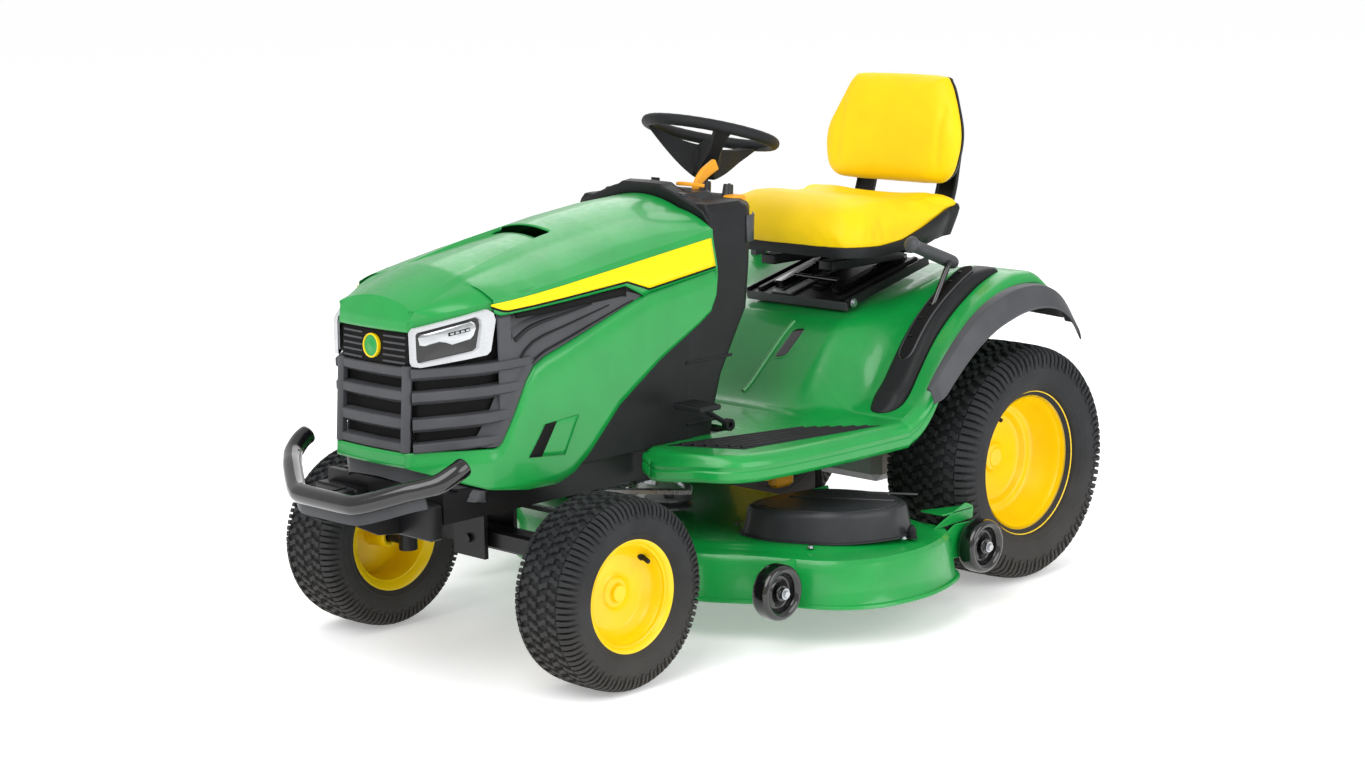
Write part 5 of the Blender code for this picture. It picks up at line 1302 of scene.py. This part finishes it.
def makeDeck():
    verts, faces = patch(ringsOf(deckRing(), (0.0, 0.0), deckShape["rings"]), False, True)
    middle = np.array([verts[list(face)].mean(0) for face in faces])
    outlet = (middle[:, 0] < -0.55) & (np.abs(middle[:, 1]) < 0.13) & (middle[:, 2] < 0.182)
    faces = [face for face, out in zip(faces, outlet) if not out]
    addPiece(
        "deck_pressing", [(verts, faces)], "green", "deck", ["deck_shell"], wall=deckShape["wall"], smooth=28,
        inside=(0, 0, 0.12)
    )
    extras = []
    for y, x, low, high in ((-0.255, 0.478, -0.292, -0.16), (0.348, 0.552, 0.262, 0.38)):
        outline = rounded(
            [
                (low, 0.15), (low + 0.02, 0.122), (low + 0.06, 0.12), (high, 0.15), (high, 0.196), (low + 0.03, 0.2),
                (low, 0.185)
            ],
            0.01, 5
        )
        extras += both([plate(outline, (x - 0.008, 0, 0), (0, 1, 0), (0, 0, 1), 0.0, 0.005, 0.001)])
    # the rear bracket stands up at the edge, with a triangle cut out of it
    web = plate(
        rounded([(0.225, 0.196), (0.37, 0.2), (0.372, 0.228), (0.345, 0.24), (0.3, 0.226)], 0.006, 4), (0.534, 0, 0),
        (0, 1, 0), (0, 0, 1), 0.0, 0.004, 0.001
    )
    extras += both(
        [
            web,
            plate(
                rounded([(0.47, 0.262), (0.538, 0.262), (0.538, 0.372), (0.515, 0.372)], 0.006, 4), (0, 0, 0.222),
                (1, 0, 0), (0, 1, 0), 0.0, 0.004, 0.001
            )
        ]
    )
    extras += [brick((-0.652, s * 0.15 - 0.004, 0.196), (-0.585, s * 0.15 + 0.004, 0.224), 0.003) for s in (-1, 1)]
    extras += both([brick((0.2155, 0.185, 0.208), (0.2215, 0.235, 0.252), 0.0015)])
    addPiece("deck_brackets", extras, "green", "deck", smooth=30)
    pin = [bar((-0.64, -0.158, 0.212), (-0.64, 0.158, 0.212), 0.0038)]
    for end, (x, y) in deckShape["gauges"].items():
        for sign in (-1, 1):
            if (end, sign) == ("rear", -1):
                continue
            pin.append(bar((sign * (x - 0.014), y, 0.146), (sign * (x + 0.05), y, 0.146), 0.0062))
            pin += hexHead(np.array([sign * (x + 0.0505), y, 0.146]), np.array([sign, 0, 0]), 0.0085, 0.006)
            pin += hexHead(np.array([sign * (x - 0.0095), y, 0.146]), np.array([-sign, 0, 0]), 0.0085, 0.005)
    for angle in (0.3, 1.4, 2.6, 3.7, 5.2):
        place = np.array([0.375 + 0.205 * math.cos(angle), 0.035 + 0.165 * math.sin(angle), 0.211])
        pin += hexHead(place, np.array([0, 0, 1.0]), 0.0055, 0.004)
    addPiece("deck_bolts", pin, "steel", "deck", smooth=35)


def makeCovers():
    line = smoothPath(np.array(deckShape["cover"]), 10, closed=True)
    cover = patch(ringsOf(line, (0.415, 0.03), deckShape["coverRings"]), False, True)
    ribs = []
    for place in (0.3, 0.46):
        # two low ribs stand across the top
        path = joined(np.linspace(0.31, 0.515, 12), place * 0.5 - 0.15 + 0.3 * np.linspace(0, 1, 12) * 0.4, 0.2805)
        ribs.append(sweep(path, ribSection(0.004, -0.001, 0.002, 0.0025, 0.0006, 3)))
    addPiece("pulley_cover_left", [cover, *ribs], "satin", "deck", ["spindle_cover_left"], smooth=32)
    addPiece(
        "pulley_cover_right", [mirrorX(part) for part in (cover, *ribs)], "satin", "deck", ["spindle_cover_right"],
        smooth=32
    )
    washPort = [
        revolve(
            [
                (0, 0.028), (0.006, 0.028), (0.0065, 0.024), (0.009, 0.022), (0.009, 0.004), (0.012, 0.003),
                (0.012, 0.0), (0, 0)
            ],
            (0.568, 0.115, 0.205), (0, 0, 1), 24
        )
    ]
    washPort += [
        revolve(
            [
                (0.0085, 0.006 + 0.005 * k), (0.0108, 0.0072 + 0.005 * k), (0.0108, 0.0088 + 0.005 * k),
                (0.0085, 0.01 + 0.005 * k)
            ],
            (0.568, 0.115, 0.205), (0, 0, 1), 24, closed=True
        )
        for k in range(3)
    ]
    addPiece("hose_port", washPort, "black", "deck", smooth=35)


def makeGauges():
    outer = [
        (0.0085, 0.04), (0.014, 0.041), (0.018, 0.039), (0.02, 0.03), (0.024, 0.026), (0.034, 0.024), (0.038, 0.028),
        (0.04, 0.036), (0.044, 0.042), (0.05, 0.0455), (0.056, 0.044), (0.06, 0.0385), (0.061, 0.031), (0.061, 0.017),
        (0.06, 0.009), (0.056, 0.003), (0.05, 0.0012), (0.044, 0.004), (0.04, 0.01), (0.034, 0.016), (0.024, 0.015),
        (0.02, 0.008), (0.015, 0.003), (0.0085, 0.004)
    ]
    for end, (x, y) in deckShape["gauges"].items():
        for side, sign in (("left", 1), ("right", -1)):
            if (end, side) == ("rear", "right"):
                continue
            centre = (sign * (x + 0.002), y, 0.146)
            node = f"gauge_wheel_{end}_{side}"
            addPiece(
                node.replace("gauge_wheel", "gauge_roller"),
                [
                    revolve(smoothPath(outer, 3), centre, (sign, 0, 0), 72),
                    revolve([outer[-1], outer[0]], centre, (sign, 0, 0), 72)
                ],
                "gloss", f"gauge_{end}_{side}", [node], smooth=35
            )


makeDeck()
makeCovers()
makeGauges()
print("deck ready")

# grille: dark slats over deep openings on the nose and its two angled sides, with posts at the corners
grille = {
    "slats": [(0.675, 0.656), (0.627, 0.607), (0.572, 0.55), (0.521, 0.503)],
    "postX": 0.104,
    "back": 0.026,
    "emblem": (0.0, 0.711, 0.0235),
}


def noseY(x, z):
    return -0.934 - 0.006 * (1 - (np.abs(x) / 0.111) ** 2) + noseBack(z)


def rearY(z):
    # the slanted rear edge of the side opening
    return np.interp(z, [0.502, 0.508, 0.572, 0.636, 0.661, 0.7], [-0.784, -0.768, -0.737, -0.707, -0.69, -0.68])


def slatSection(tall):
    # proud face, then a slope back under it and a short one over it
    return np.array(
        [
            (-0.022, -tall / 2 - 0.01), (0.0, -tall / 2), (0.0022, -tall / 2 + 0.002), (0.0022, tall / 2 - 0.002),
            (0.0, tall / 2), (-0.022, tall / 2 + 0.002)
        ]
    )


def ribbon(path, normals, section):
    # a section of (proud, height) points at each point of a path with its own outward direction
    points = path[:, None] + section[None, :, :1] * normals[:, None] + section[None, :, 1:] * np.array([0, 0, 1.0])
    return capped(*patch(points, False, True), len(section))


def flankLine(y, z, proud):
    # points on the side facet with their outward normals in plan
    x = flankX(y, z) + proud
    slope = (planX(y + 0.002) - planX(y - 0.002)) / 0.004
    normal = joined(np.ones_like(slope), -slope, 0.0)
    return joined(x, y, z), normal / np.linalg.norm(normal, axis=1)[:, None]


def makeGrille():
    dark, lit = [], []
    x = np.linspace(-0.1, 0.1, 24)
    for high, low in grille["slats"]:
        middle = (high + low) / 2
        path = joined(x, noseY(x, middle) + 0.004, middle)
        lit.append(ribbon(path, np.tile([0, -1.0, 0], (24, 1)), slatSection(high - low)))
        y = np.linspace(-0.918, rearY(middle) - 0.004, 30)
        t = np.linspace(0, 1, 30)
        z = middle - 0.002 + 0.011 * t
        path, normal = flankLine(y, z, -0.004)
        side = ribbon(path, normal, slatSection(high - low))
        lit += both([side])
    # the frame along the slanted rear edge, and a ramp that closes each opening at its rear
    z = np.linspace(0.506, 0.676, 24)
    path = []
    for inset in (0.0, 0.014, 0.02, 0.048):
        y = rearY(z) - inset
        deep = {0.0: -0.003, 0.014: -0.002, 0.02: -0.005, 0.048: -0.018}[inset]
        path.append(joined(flankX(y, z) + deep, y, z))
    lit += both([patch(np.stack(path))])
    for sign in (-1, 1):
        z = np.linspace(0.503, 0.678, 20)
        y = noseY(0.104, z) + 0.002
        centre = joined(sign * grille["postX"], y, z)
        section = rounded(
            [
                (-0.0105, 0.012), (-0.0105, -0.001), (-0.004, -0.0045), (0.006, -0.0035), (0.0115, 0.006),
                (0.006, 0.014)
            ],
            0.002, 4
        )
        points = centre[:, None] + joined(sign * section[None, :, 0], section[None, :, 1], 0.0)
        lit.append(capped(*patch(points, False, True), len(section)))
    addPiece("grille_slats", lit, "slat", "hood", ["grille"], bevel=0.0006, smooth=30)
    # near-black sheets behind the grille's openings: painted shade inside the nose
    z = np.linspace(0.5, 0.76, 10)[:, None]
    x = np.linspace(-0.108, 0.108, 20)[None]
    front = patch(joined(x, noseY(x, z) + grille["back"], z))
    y = np.linspace(-0.902, -0.7, 24)[None]
    z = np.linspace(0.5, 0.78, 10)[:, None]
    side = patch(joined(flankX(y, z) - grille["back"] + 0 * z, y + 0 * z, z))
    addPiece("grille_depth", [front, *both([side])], "painted_shade", "hood", wall=0.002, smooth=40, inside=core["nose"])
    # the badge panel with its fine louvres and a plain round emblem
    # the panel behind the louvres is a near-black sheet: painted shade between them
    z = np.linspace(0.672, 0.75, 8)[:, None]
    x = np.linspace(-0.106, 0.106, 24)[None]
    dark.append(patch(joined(x, noseY(x, z) + 0.008, z)))
    addPiece("badge_panel", dark, "painted_shade", "hood", wall=0.003, smooth=40, inside=core["nose"])
    louvres = []
    for k in range(5):
        height = 0.684 + 0.0128 * k
        for a, b in ((-0.098, -0.034), (0.034, 0.098)):
            xs = np.linspace(a, b, 10)
            path = joined(xs, noseY(xs, height) + 0.006, height)
            louvres.append(
                ribbon(
                    path, np.tile([0, -1.0, 0], (10, 1)),
                    np.array([(-0.006, -0.0035), (0.0, -0.003), (0.0012, -0.0016), (0.0012, 0.001), (-0.006, 0.0022)])
                )
            )
    addPiece("badge_louvres", louvres, "slat", "hood", smooth=30)
    ex, ez, radius = grille["emblem"]
    place = np.array([ex, float(noseY(np.array(0.0), ez)) + 0.004, ez])
    ring = [
        (radius - 0.002, 0.0), (radius - 0.0016, 0.0038), (radius - 0.001, 0.0046), (radius + 0.0012, 0.0036),
        (radius + 0.002, 0.0), (radius + 0.001, -0.004)
    ]
    addPiece("emblem_rim", [revolve(ring, place, (0, -1, 0.07), 64)], "rim", "hood", smooth=40)
    face = [
        (0, 0.003), (radius * 0.3, 0.0029), (radius * 0.34, 0.0022), (radius * 0.62, 0.0018),
        (radius - 0.0017, 0.0016), (radius - 0.0017, -0.003)
    ]
    addPiece("emblem_face", [revolve(face, place, (0, -1, 0.07), 64)], "green", "hood", smooth=40)


# headlights: a pale bezel round a dark pocket, with a bright reflector and a strip of lamps
lamp = {
    "from": -0.915, "reach": 0.13,
    "outer": [
        (-0.01, 0.748), (0.03, 0.756), (0.97, 0.789), (1.06, 0.781), (1.09, 0.767), (0.99, 0.705), (0.93, 0.697),
        (0.07, 0.677), (0.01, 0.679), (-0.01, 0.688)
    ],
    "inner": [
        (0.03, 0.743), (0.05, 0.748), (0.8, 0.776), (0.865, 0.769), (0.88, 0.757), (0.82, 0.712), (0.77, 0.706),
        (0.09, 0.686), (0.045, 0.688), (0.03, 0.695)
    ],
    "reflector": [
        (0.085, 0.737), (0.12, 0.743), (0.76, 0.7665), (0.81, 0.761), (0.82, 0.752), (0.785, 0.738), (0.74, 0.731),
        (0.5, 0.721), (0.42, 0.726), (0.34, 0.7275), (0.16, 0.72), (0.1, 0.722)
    ],
    "strip": [(0.44, 0.7385), (0.44, 0.7455), (0.72, 0.7545), (0.72, 0.7475)],
}


def lampPoint(flat, proud):
    y = lamp["from"] + lamp["reach"] * flat[..., 0]
    return onFlank(y, flat[..., 1] + 0 * y, proud)


def eighths(line):
    # eight even steps along each side of a closed outline
    step = (np.roll(line, -1, 0) - line)[:, None] * np.linspace(0, 1, 8, endpoint=False)[None, :, None]
    return (line[:, None] + step).reshape(-1, 2)


def lampSheet(key, lifts, rings=8, crown=0.0):
    share, flat = disc(rounded(lamp[key], 0.0008, 3), rings, 1)
    return patch(lampPoint(flat, lifts + crown * (1 - share**4)), False, True)


def makeLamps():
    a, b = (eighths(np.array(lamp[key])) for key in ("outer", "inner"))
    rows = []
    for share, lift in (
        (0.0, -0.01), (0.0, 0.001), (0.06, 0.0028), (0.5, 0.0036), (0.92, 0.0026), (1.0, 0.001), (1.0, -0.014)
    ):
        rows.append(lampPoint(a + (b - a) * share, lift))
    addPiece(
        "headlight_bezel_left", [patch(np.stack(rows), False, True)], "silver", "hood", ["headlight_left"], smooth=35,
        inside=(0.1, -0.8, 0.72)
    )
    addPiece(
        "headlight_bezel_right", [mirrorX(patch(np.stack(rows), False, True))], "silver", "hood", ["headlight_right"],
        smooth=35, inside=(-0.1, -0.8, 0.72)
    )
    addPiece(
        "headlight_pocket", both([lampSheet("inner", -0.008)]), "gloss", "hood", wall=0.002, smooth=40,
        inside=core["lamp"]
    )
    addPiece(
        "headlight_reflector", both([lampSheet("reflector", -0.0055, 10, 0.003)]), "reflector", "hood", wall=0.001,
        smooth=40, inside=core["lamp"]
    )
    # the strip behind the lamp cells is a near-black sheet: painted shade
    addPiece(
        "headlight_strip", both([lampSheet("strip", -0.0008, 4)]), "painted_shade", "hood", wall=0.001, smooth=40,
        inside=core["lamp"]
    )
    cells = []
    for k in range(4):
        u = 0.462 + 0.066 * k
        z = 0.7405 + 0.032 * (u - 0.44)
        corner = np.array([(u, z), (u, z + 0.004), (u + 0.046, z + 0.0054), (u + 0.046, z + 0.0014)])
        share, flat = disc(corner, 4, 1)
        cells.append(patch(lampPoint(flat, 0.0002 + 0.0008 * (1 - share**2)), False, True))
    addPiece("headlight_cells", both(cells), "reflector", "hood", wall=0.0006, smooth=50, inside=core["lamp"])


# front end: the bumper bar with its lower flange and brackets, and the skirt under the hood's lip
bumper = {
    "path": [
        (0.0, -1.056, 0.413), (0.07, -1.054, 0.413), (0.098, -1.047, 0.415), (0.135, -1.026, 0.426),
        (0.185, -0.993, 0.444), (0.212, -0.972, 0.452), (0.236, -0.95, 0.462), (0.25, -0.92, 0.48),
        (0.252, -0.895, 0.492)
    ],
    "radius": 0.0205,
}


def makeBumper():
    half = np.array(bumper["path"])
    path = smoothPath(np.vstack([half[::-1] * [-1, 1, 1], half[1:]]), 8)
    ends = np.minimum(np.arange(len(path)), np.arange(len(path))[::-1])
    parts = [sweep(path, circle(bumper["radius"], 28), scale=np.interp(ends, [0, 1, 2], [0.7, 0.93, 1.0]))]
    addPiece("bumper_bar", parts, "gloss", "chassis", ["front_bumper"], smooth=40)
    low = smoothPath(np.vstack([half[:6][::-1] * [-1, 1, 1], half[1:6]]), 6)
    flange = sweep(
        low + [0, 0.006, -0.027],
        rounded([(-0.004, -0.013), (0.004, -0.016), (0.006, 0.013), (-0.006, 0.013)], 0.002, 3)
    )
    addPiece("bumper_flange", [flange], "grey", "chassis", smooth=35)
    arm = [
        brick((0.056, -1.045, 0.372), (0.084, -0.902, 0.402), 0.003),
        brick((0.05, -0.935, 0.33), (0.186, -0.902, 0.404), 0.004)
    ]
    arm += [
        plate(
            rounded([(-1.046, 0.368), (-0.99, 0.34), (-0.905, 0.33), (-0.905, 0.404), (-1.04, 0.404)], 0.006, 4),
            (0.0855, 0, 0), (0, 1, 0), (0, 0, 1), 0.0, 0.004, 0.001
        )
    ]
    addPiece("bumper_brackets", both(arm), "frame", "chassis", bevel=0.001, smooth=30)


def makeValance():
    top = np.array(
        [
            (0.0, -0.92, 0.468), (0.088, -0.919, 0.468), (0.106, -0.912, 0.466), (0.15, -0.866, 0.44),
            (0.19, -0.816, 0.418), (0.2, -0.8, 0.414)
        ]
    )
    foot = np.array(
        [
            (0.0, -0.9215, 0.44), (0.084, -0.9205, 0.436), (0.1, -0.913, 0.43), (0.14, -0.88, 0.405),
            (0.196, -0.828, 0.396), (0.2, -0.8, 0.396)
        ]
    )
    under = np.array(
        [
            (0.0, -0.88, 0.4245), (0.08, -0.88, 0.4245), (0.095, -0.875, 0.418), (0.13, -0.85, 0.4),
            (0.18, -0.815, 0.392), (0.196, -0.795, 0.39)
        ]
    )
    rows = np.stack([top + [0, 0.012, 0.002], top, top * 0.4 + foot * 0.6, foot, foot * 0.6 + under * 0.4, under])
    addPiece(
        "front_skirt", both([patch(rows)]), "slat", "chassis", ["front_valance"], wall=0.003, smooth=25,
        inside=(0, -0.8, 0.5)
    )


makeGrille()
makeLamps()
makeBumper()
makeValance()
print("front ready")

# dash: the tower behind the hood, its cowl with a raised pod, the side skirts and the controls on it
dash = {
    "rings": [
        (0.4205, -0.215, -0.11, 0.205, 0.03), (0.48, -0.215, -0.095, 0.205, 0.034),
        (0.56, -0.214, -0.064, 0.205, 0.04), (0.64, -0.208, -0.012, 0.205, 0.046), (0.7, -0.2, 0.028, 0.205, 0.05),
        (0.8, -0.17, 0.043, 0.206, 0.055), (0.88, -0.141, 0.05, 0.207, 0.06), (0.918, -0.139, 0.057, 0.207, 0.07),
        (0.926, -0.138, 0.056, 0.204, 0.072), (0.938, -0.135, 0.045, 0.195, 0.075),
        (0.9405, -0.13, 0.036, 0.185, 0.075)
    ],
}


def dashRing(z, front, rear, half, nose):
    corners = [
        (-half, front), (half, front), (half, rear - nose), (half - 0.045, rear - nose * 0.25), (half * 0.45, rear),
        (-half * 0.45, rear), (-half + 0.045, rear - nose * 0.25), (-half, rear - nose)
    ]
    line = rounded(corners, 0.012, 6)
    return joined(line[:, 0], line[:, 1], z)


def makeDash():
    rings = [dashRing(*row) for row in dash["rings"]]
    centre = rings[-1].mean(0)
    tower = patch(
        np.stack([*rings, centre + (rings[-1] - centre) * 0.6, centre + (rings[-1] - centre) * 0.0]), False, True
    )
    addPiece("dash_tower", [tower], "black", "chassis", ["dash_console"], smooth=32)
    pod = []
    for z, y, half in (
        (0.93, -0.016, 0.142), (0.948, -0.024, 0.136), (0.957, -0.034, 0.128), (0.9595, -0.046, 0.116)
    ):
        line = rounded([(-half, -0.134), (half, -0.134), (half * 0.86, y), (-half * 0.86, y)], 0.016, 6)
        pod.append(joined(line[:, 0], line[:, 1], z))
    pod.append(joined(0 * line[:, 0], -0.085, 0.96))
    addPiece("dash_pod", [patch(np.stack(pod), False, True)], "satin", "chassis", smooth=32)
    # the cowl follows the hood's rear edge and stands a little over it
    x = np.linspace(-0.2065, 0.2065, 90)
    crest = np.interp(
        np.abs(x), [0.0, 0.06, 0.072, 0.09, 0.125, 0.165, 0.19, 0.2065],
        [0.977, 0.976, 0.969, 0.964, 0.951, 0.936, 0.925, 0.903]
    )
    rows = [
        joined(x, y, np.maximum(crest + rise, 0.88))
        for y, rise in (
            (-0.1425, -0.06), (-0.1425, -0.004), (-0.14, 0.0), (-0.118, 0.003), (-0.104, 0.001), (-0.09, -0.01),
            (-0.06, -0.03), (-0.04, -0.05)
        )
    ]
    addPiece("cowl_lip", [patch(np.stack(rows))], "black", "chassis", wall=0.003, smooth=32, inside=(0, -0.09, 0.85))
    outline = rounded(
        [(-0.187, 0.79), (-0.187, 0.427), (-0.556, 0.427), (-0.556, 0.442), (-0.47, 0.562), (-0.3, 0.69)], 0.01, 5
    )
    skirt = both([plate(outline, (0.192, 0, 0), (0, 1, 0), (0, 0, 1), 0.0, 0.0125, 0.0025)])
    addPiece("tower_skirt", skirt, "black", "chassis", smooth=30)
    rib = []
    for a, b in (((-0.54, 0.447), (-0.3, 0.676)), ((-0.215, 0.6), (-0.07, 0.6)), ((-0.215, 0.463), (-0.115, 0.463))):
        line = np.array(a) + (np.array(b) - np.array(a)) * np.linspace(0, 1, 12)[:, None]
        rib.append(
            sweep(
                joined(0.2055, line[:, 0], line[:, 1]), ribSection(0.004, -0.002, 0.0025, 0.0015, 0.0008, 3),
                up=(1, 0, 0)
            )
        )
    addPiece("skirt_ribs", both(rib), "black", "chassis", smooth=30)
    corner = []
    for z, lean in ((0.845, 0.0), (0.905, 0.003)):
        corner.append([(0.2085, -0.022, z), (0.2085 - 0.01, 0.01 + lean, z), (0.166, 0.04 + lean, z)])
    addPiece(
        "dash_corner_facet", both([patch(np.array(corner) + [0.0012, 0.0012, 0])]), "slat", "chassis", wall=0.002,
        smooth=30, inside=(0, -0.1, 0.88)
    )
    dials = []
    for x, y, radius, tall in (
        (0.054, 0.004, 0.016, 0.03), (0.12, 0.012, 0.0125, 0.026), (-0.06, 0.004, 0.0165, 0.012)
    ):
        profile = [
            (0, tall), (radius * 0.8, tall), (radius * 0.92, tall - 0.003), (radius, 0.006), (radius * 1.12, 0.003),
            (radius * 1.14, -0.004)
        ]
        dials.append(revolve(profile, (x, y, 0.94), (0, 0.14, 1), 40))
        dials.append(
            brick(
                (x - 0.0012, y + radius * 0.2, 0.94 + tall - 0.004),
                (x + 0.0012, y + radius * 0.75, 0.94 + tall + 0.0012), 0.0003
            )
        )
    addPiece("dash_knobs", dials, "satin", "chassis", smooth=30)
    arc = np.linspace(math.radians(200), math.radians(350), 24)
    bow = joined(0.086 + 0.034 * np.cos(arc), -0.06 + 0.034 * np.sin(arc), 0.968 - 0.006 * np.sin(arc))
    addPiece(
        "throttle_quadrant", [sweep(bow, ribSection(0.006, -0.004, 0.006, 0.004, 0.002, 4))], "amber", "chassis",
        smooth=35
    )


def makeControls():
    x, y, z = 0.09, -0.06, 0.925
    path = smoothPath(
        [
            (x, y, z), (x, y - 0.004, z + 0.026), (x, y + 0.006, z + 0.046), (x, y + 0.028, z + 0.066),
            (x, y + 0.064, z + 0.084)
        ],
        8
    )
    section = ribSection(0.013, -0.007, 0.013, 0.007, 0.004, 5)
    lever = sweep(
        path, section, up=(1, 0, 0), scale=np.interp(np.arange(len(path)), [0, 10, 24, 32], [0.34, 0.55, 0.95, 1.0])
    )
    addPiece("throttle_handle", [lever], "amber", "throttle", ["throttle_lever"], smooth=35)
    x, y, z = 0.15, -0.01, 0.905
    parts = [
        bar((x, y, z), (x, y + 0.004, z + 0.03), 0.0045),
        brick((x - 0.017, y - 0.01, z + 0.024), (x + 0.019, y + 0.032, z + 0.04), 0.004),
        brick((x - 0.015, y + 0.018, z + 0.006), (x + 0.015, y + 0.03, z + 0.03), 0.003)
    ]
    addPiece("blade_switch_tab", parts, "amber", "pto", ["pto_lever"], smooth=35)
    # the lift lever: a bent rod in a flared grip
    x = 0.356
    rodPath = smoothPath(
        [(x, 0.3, 0.4305), (x, 0.385, 0.56), (x, 0.452, 0.665), (0.353, 0.5, 0.735), (0.35, 0.52, 0.755)], 8
    )
    parts = [sweep(rodPath, circle(0.0068, 20)), bar((x - 0.011, 0.3, 0.4305), (x + 0.011, 0.3, 0.4305), 0.016)]
    addPiece("lift_lever_rod", parts, "gloss", "lift_shaft", ["lift_lever"], smooth=40)
    grip = revolve(
        smoothPath(
            [
                (0.0, -0.006), (0.01, -0.005), (0.0185, 0.0), (0.02, 0.006), (0.017, 0.014), (0.015, 0.03),
                (0.0158, 0.08), (0.0165, 0.14), (0.015, 0.16), (0.01, 0.168), (0.0, 0.169)
            ],
            4
        ),
        (0.327, 0.402, 0.8065), (0.045, 0.92, -0.36), 40
    )
    addPiece("lift_lever_grip", [grip], "slat", "lift_shaft", smooth=40)
    for name, (x0, x1), (y0, y1), top in (
        ("brake", (0.245, 0.33), (-0.3, -0.235), 0.528), ("forward", (-0.32, -0.235), (-0.3, -0.235), 0.528),
        ("reverse", (-0.4, -0.32), (-0.12, -0.055), 0.512)
    ):
        strips = [
            brick((x0 + 0.006, a - 0.0022, top - 0.001), (x1 - 0.006, a + 0.0022, top + 0.0025), 0.001)
            for a in np.linspace(y0 + 0.01, y1 - 0.01, 6)
        ]
        addPiece(f"{name}_pedal_tread", strips, "rubber", f"{name}_pedal", smooth=35)


def makeSteering():
    centre, tilt = np.array([0.0, 0.085, 1.07]), 0.2828
    turn = np.linspace(0, math.tau, 140, endpoint=False)
    path = centre + joined(0.146 * np.cos(turn), 0.146 * np.sin(turn), 0.0)
    # the grip is a little flat inside, with a shallow finger wave under it
    rim = sweep(path, rounded(circle(0.0142, 18, 0.94), 0.003, 2), closed=True, scale=1 + 0.012 * np.sin(turn * 36))
    parts = [rim]
    for angle in (math.radians(90), math.radians(215), math.radians(325)):
        out = np.array([math.cos(angle), math.sin(angle), 0.0])
        across = np.array([-math.sin(angle), math.cos(angle), 0.0])
        r = np.linspace(0.018, 0.142, 16)
        t = (r - 0.018) / 0.124
        high = -0.034 + 0.03 * t**1.6
        low = -0.106 + 0.094 * t**1.25
        wide = np.interp(t, [0, 0.3, 0.65, 1], [0.028, 0.025, 0.016, 0.023])
        ring = np.array([(-1.0, 1), (-0.55, 0.86), (0.55, 0.86), (1.0, 1), (0.72, 0), (-0.72, 0)])
        height = low[:, None] + (high - low)[:, None] * ring[None, :, 1]
        points = centre + r[:, None, None] * out + (
            wide[:, None] * ring[None, :, 0]
        )[..., None] * across + height[..., None] * np.array([0, 0, 1.0])
        parts.append(capped(*patch(points, False, True), 6))
    hub = [
        (0.0, -0.04), (0.028, -0.041), (0.034, -0.045), (0.037, -0.054), (0.033, -0.08), (0.027, -0.099),
        (0.022, -0.102), (0.0, -0.102)
    ]
    parts.append(revolve(hub, centre, (0, 0, 1), 40))
    addPiece(
        "steering_wheel_moulding", [turnedX(part, centre, -tilt) for part in parts], "rubber", "steering",
        ["steering_wheel"], bevel=0.0012, smooth=35
    )
    cap = [(0.0, -0.0365), (0.02, -0.037), (0.0265, -0.039), (0.0275, -0.042)]
    addPiece(
        "steering_hub_cap", [turnedX(revolve(cap, centre, (0, 0, 1), 40), centre, -tilt)], "satin", "steering",
        smooth=40
    )
    boot = [(0.022, 0.0), (0.026, 0.004), (0.02, 0.01), (0.0165, 0.02), (0.015, 0.04), (0.0145, 0.052)]
    base = centre + np.array([0, -math.sin(tilt), -math.cos(tilt)]) * 0.158
    addPiece(
        "steering_column_boot", [revolve(boot, base, (0, math.sin(tilt), math.cos(tilt)), 40)], "rubber", "chassis",
        smooth=40
    )


makeDash()
makeControls()
makeSteering()
print("dash ready")

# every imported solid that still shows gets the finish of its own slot
slotFinish = {
    "green_paint": "green", "black_plastic": "black", "grey_plastic": "grey", "gloss_black": "gloss",
    "frame_black": "frame", "yellow_paint": "rim", "yellow_vinyl": "vinyl", "amber_plastic": "amber",
    "tyre_rubber": "tyre", "black_rubber": "rubber", "lamp_lens": "silver", "cast_aluminium": "cast",
    "bright_steel": "steel", "blade_steel": "blade"
}
for row in frame["record"]["subparts"]:
    node = frame["nodes"].get(row["node"])
    if node is not None:
        for slot in node.material_slots:
            slot.material = finishes[slotFinish[row["material_slot"]]][0]

# a gold-coloured housing hangs under the left foot well
guard = [
    brick((0.188, 0.04, 0.3), (0.224, 0.132, 0.352), 0.006), brick((0.19, 0.056, 0.272), (0.22, 0.12, 0.304), 0.008)
]
addPiece("drive_housing", guard, "amber", "chassis", bevel=0.001, smooth=35)
print("everything ready")
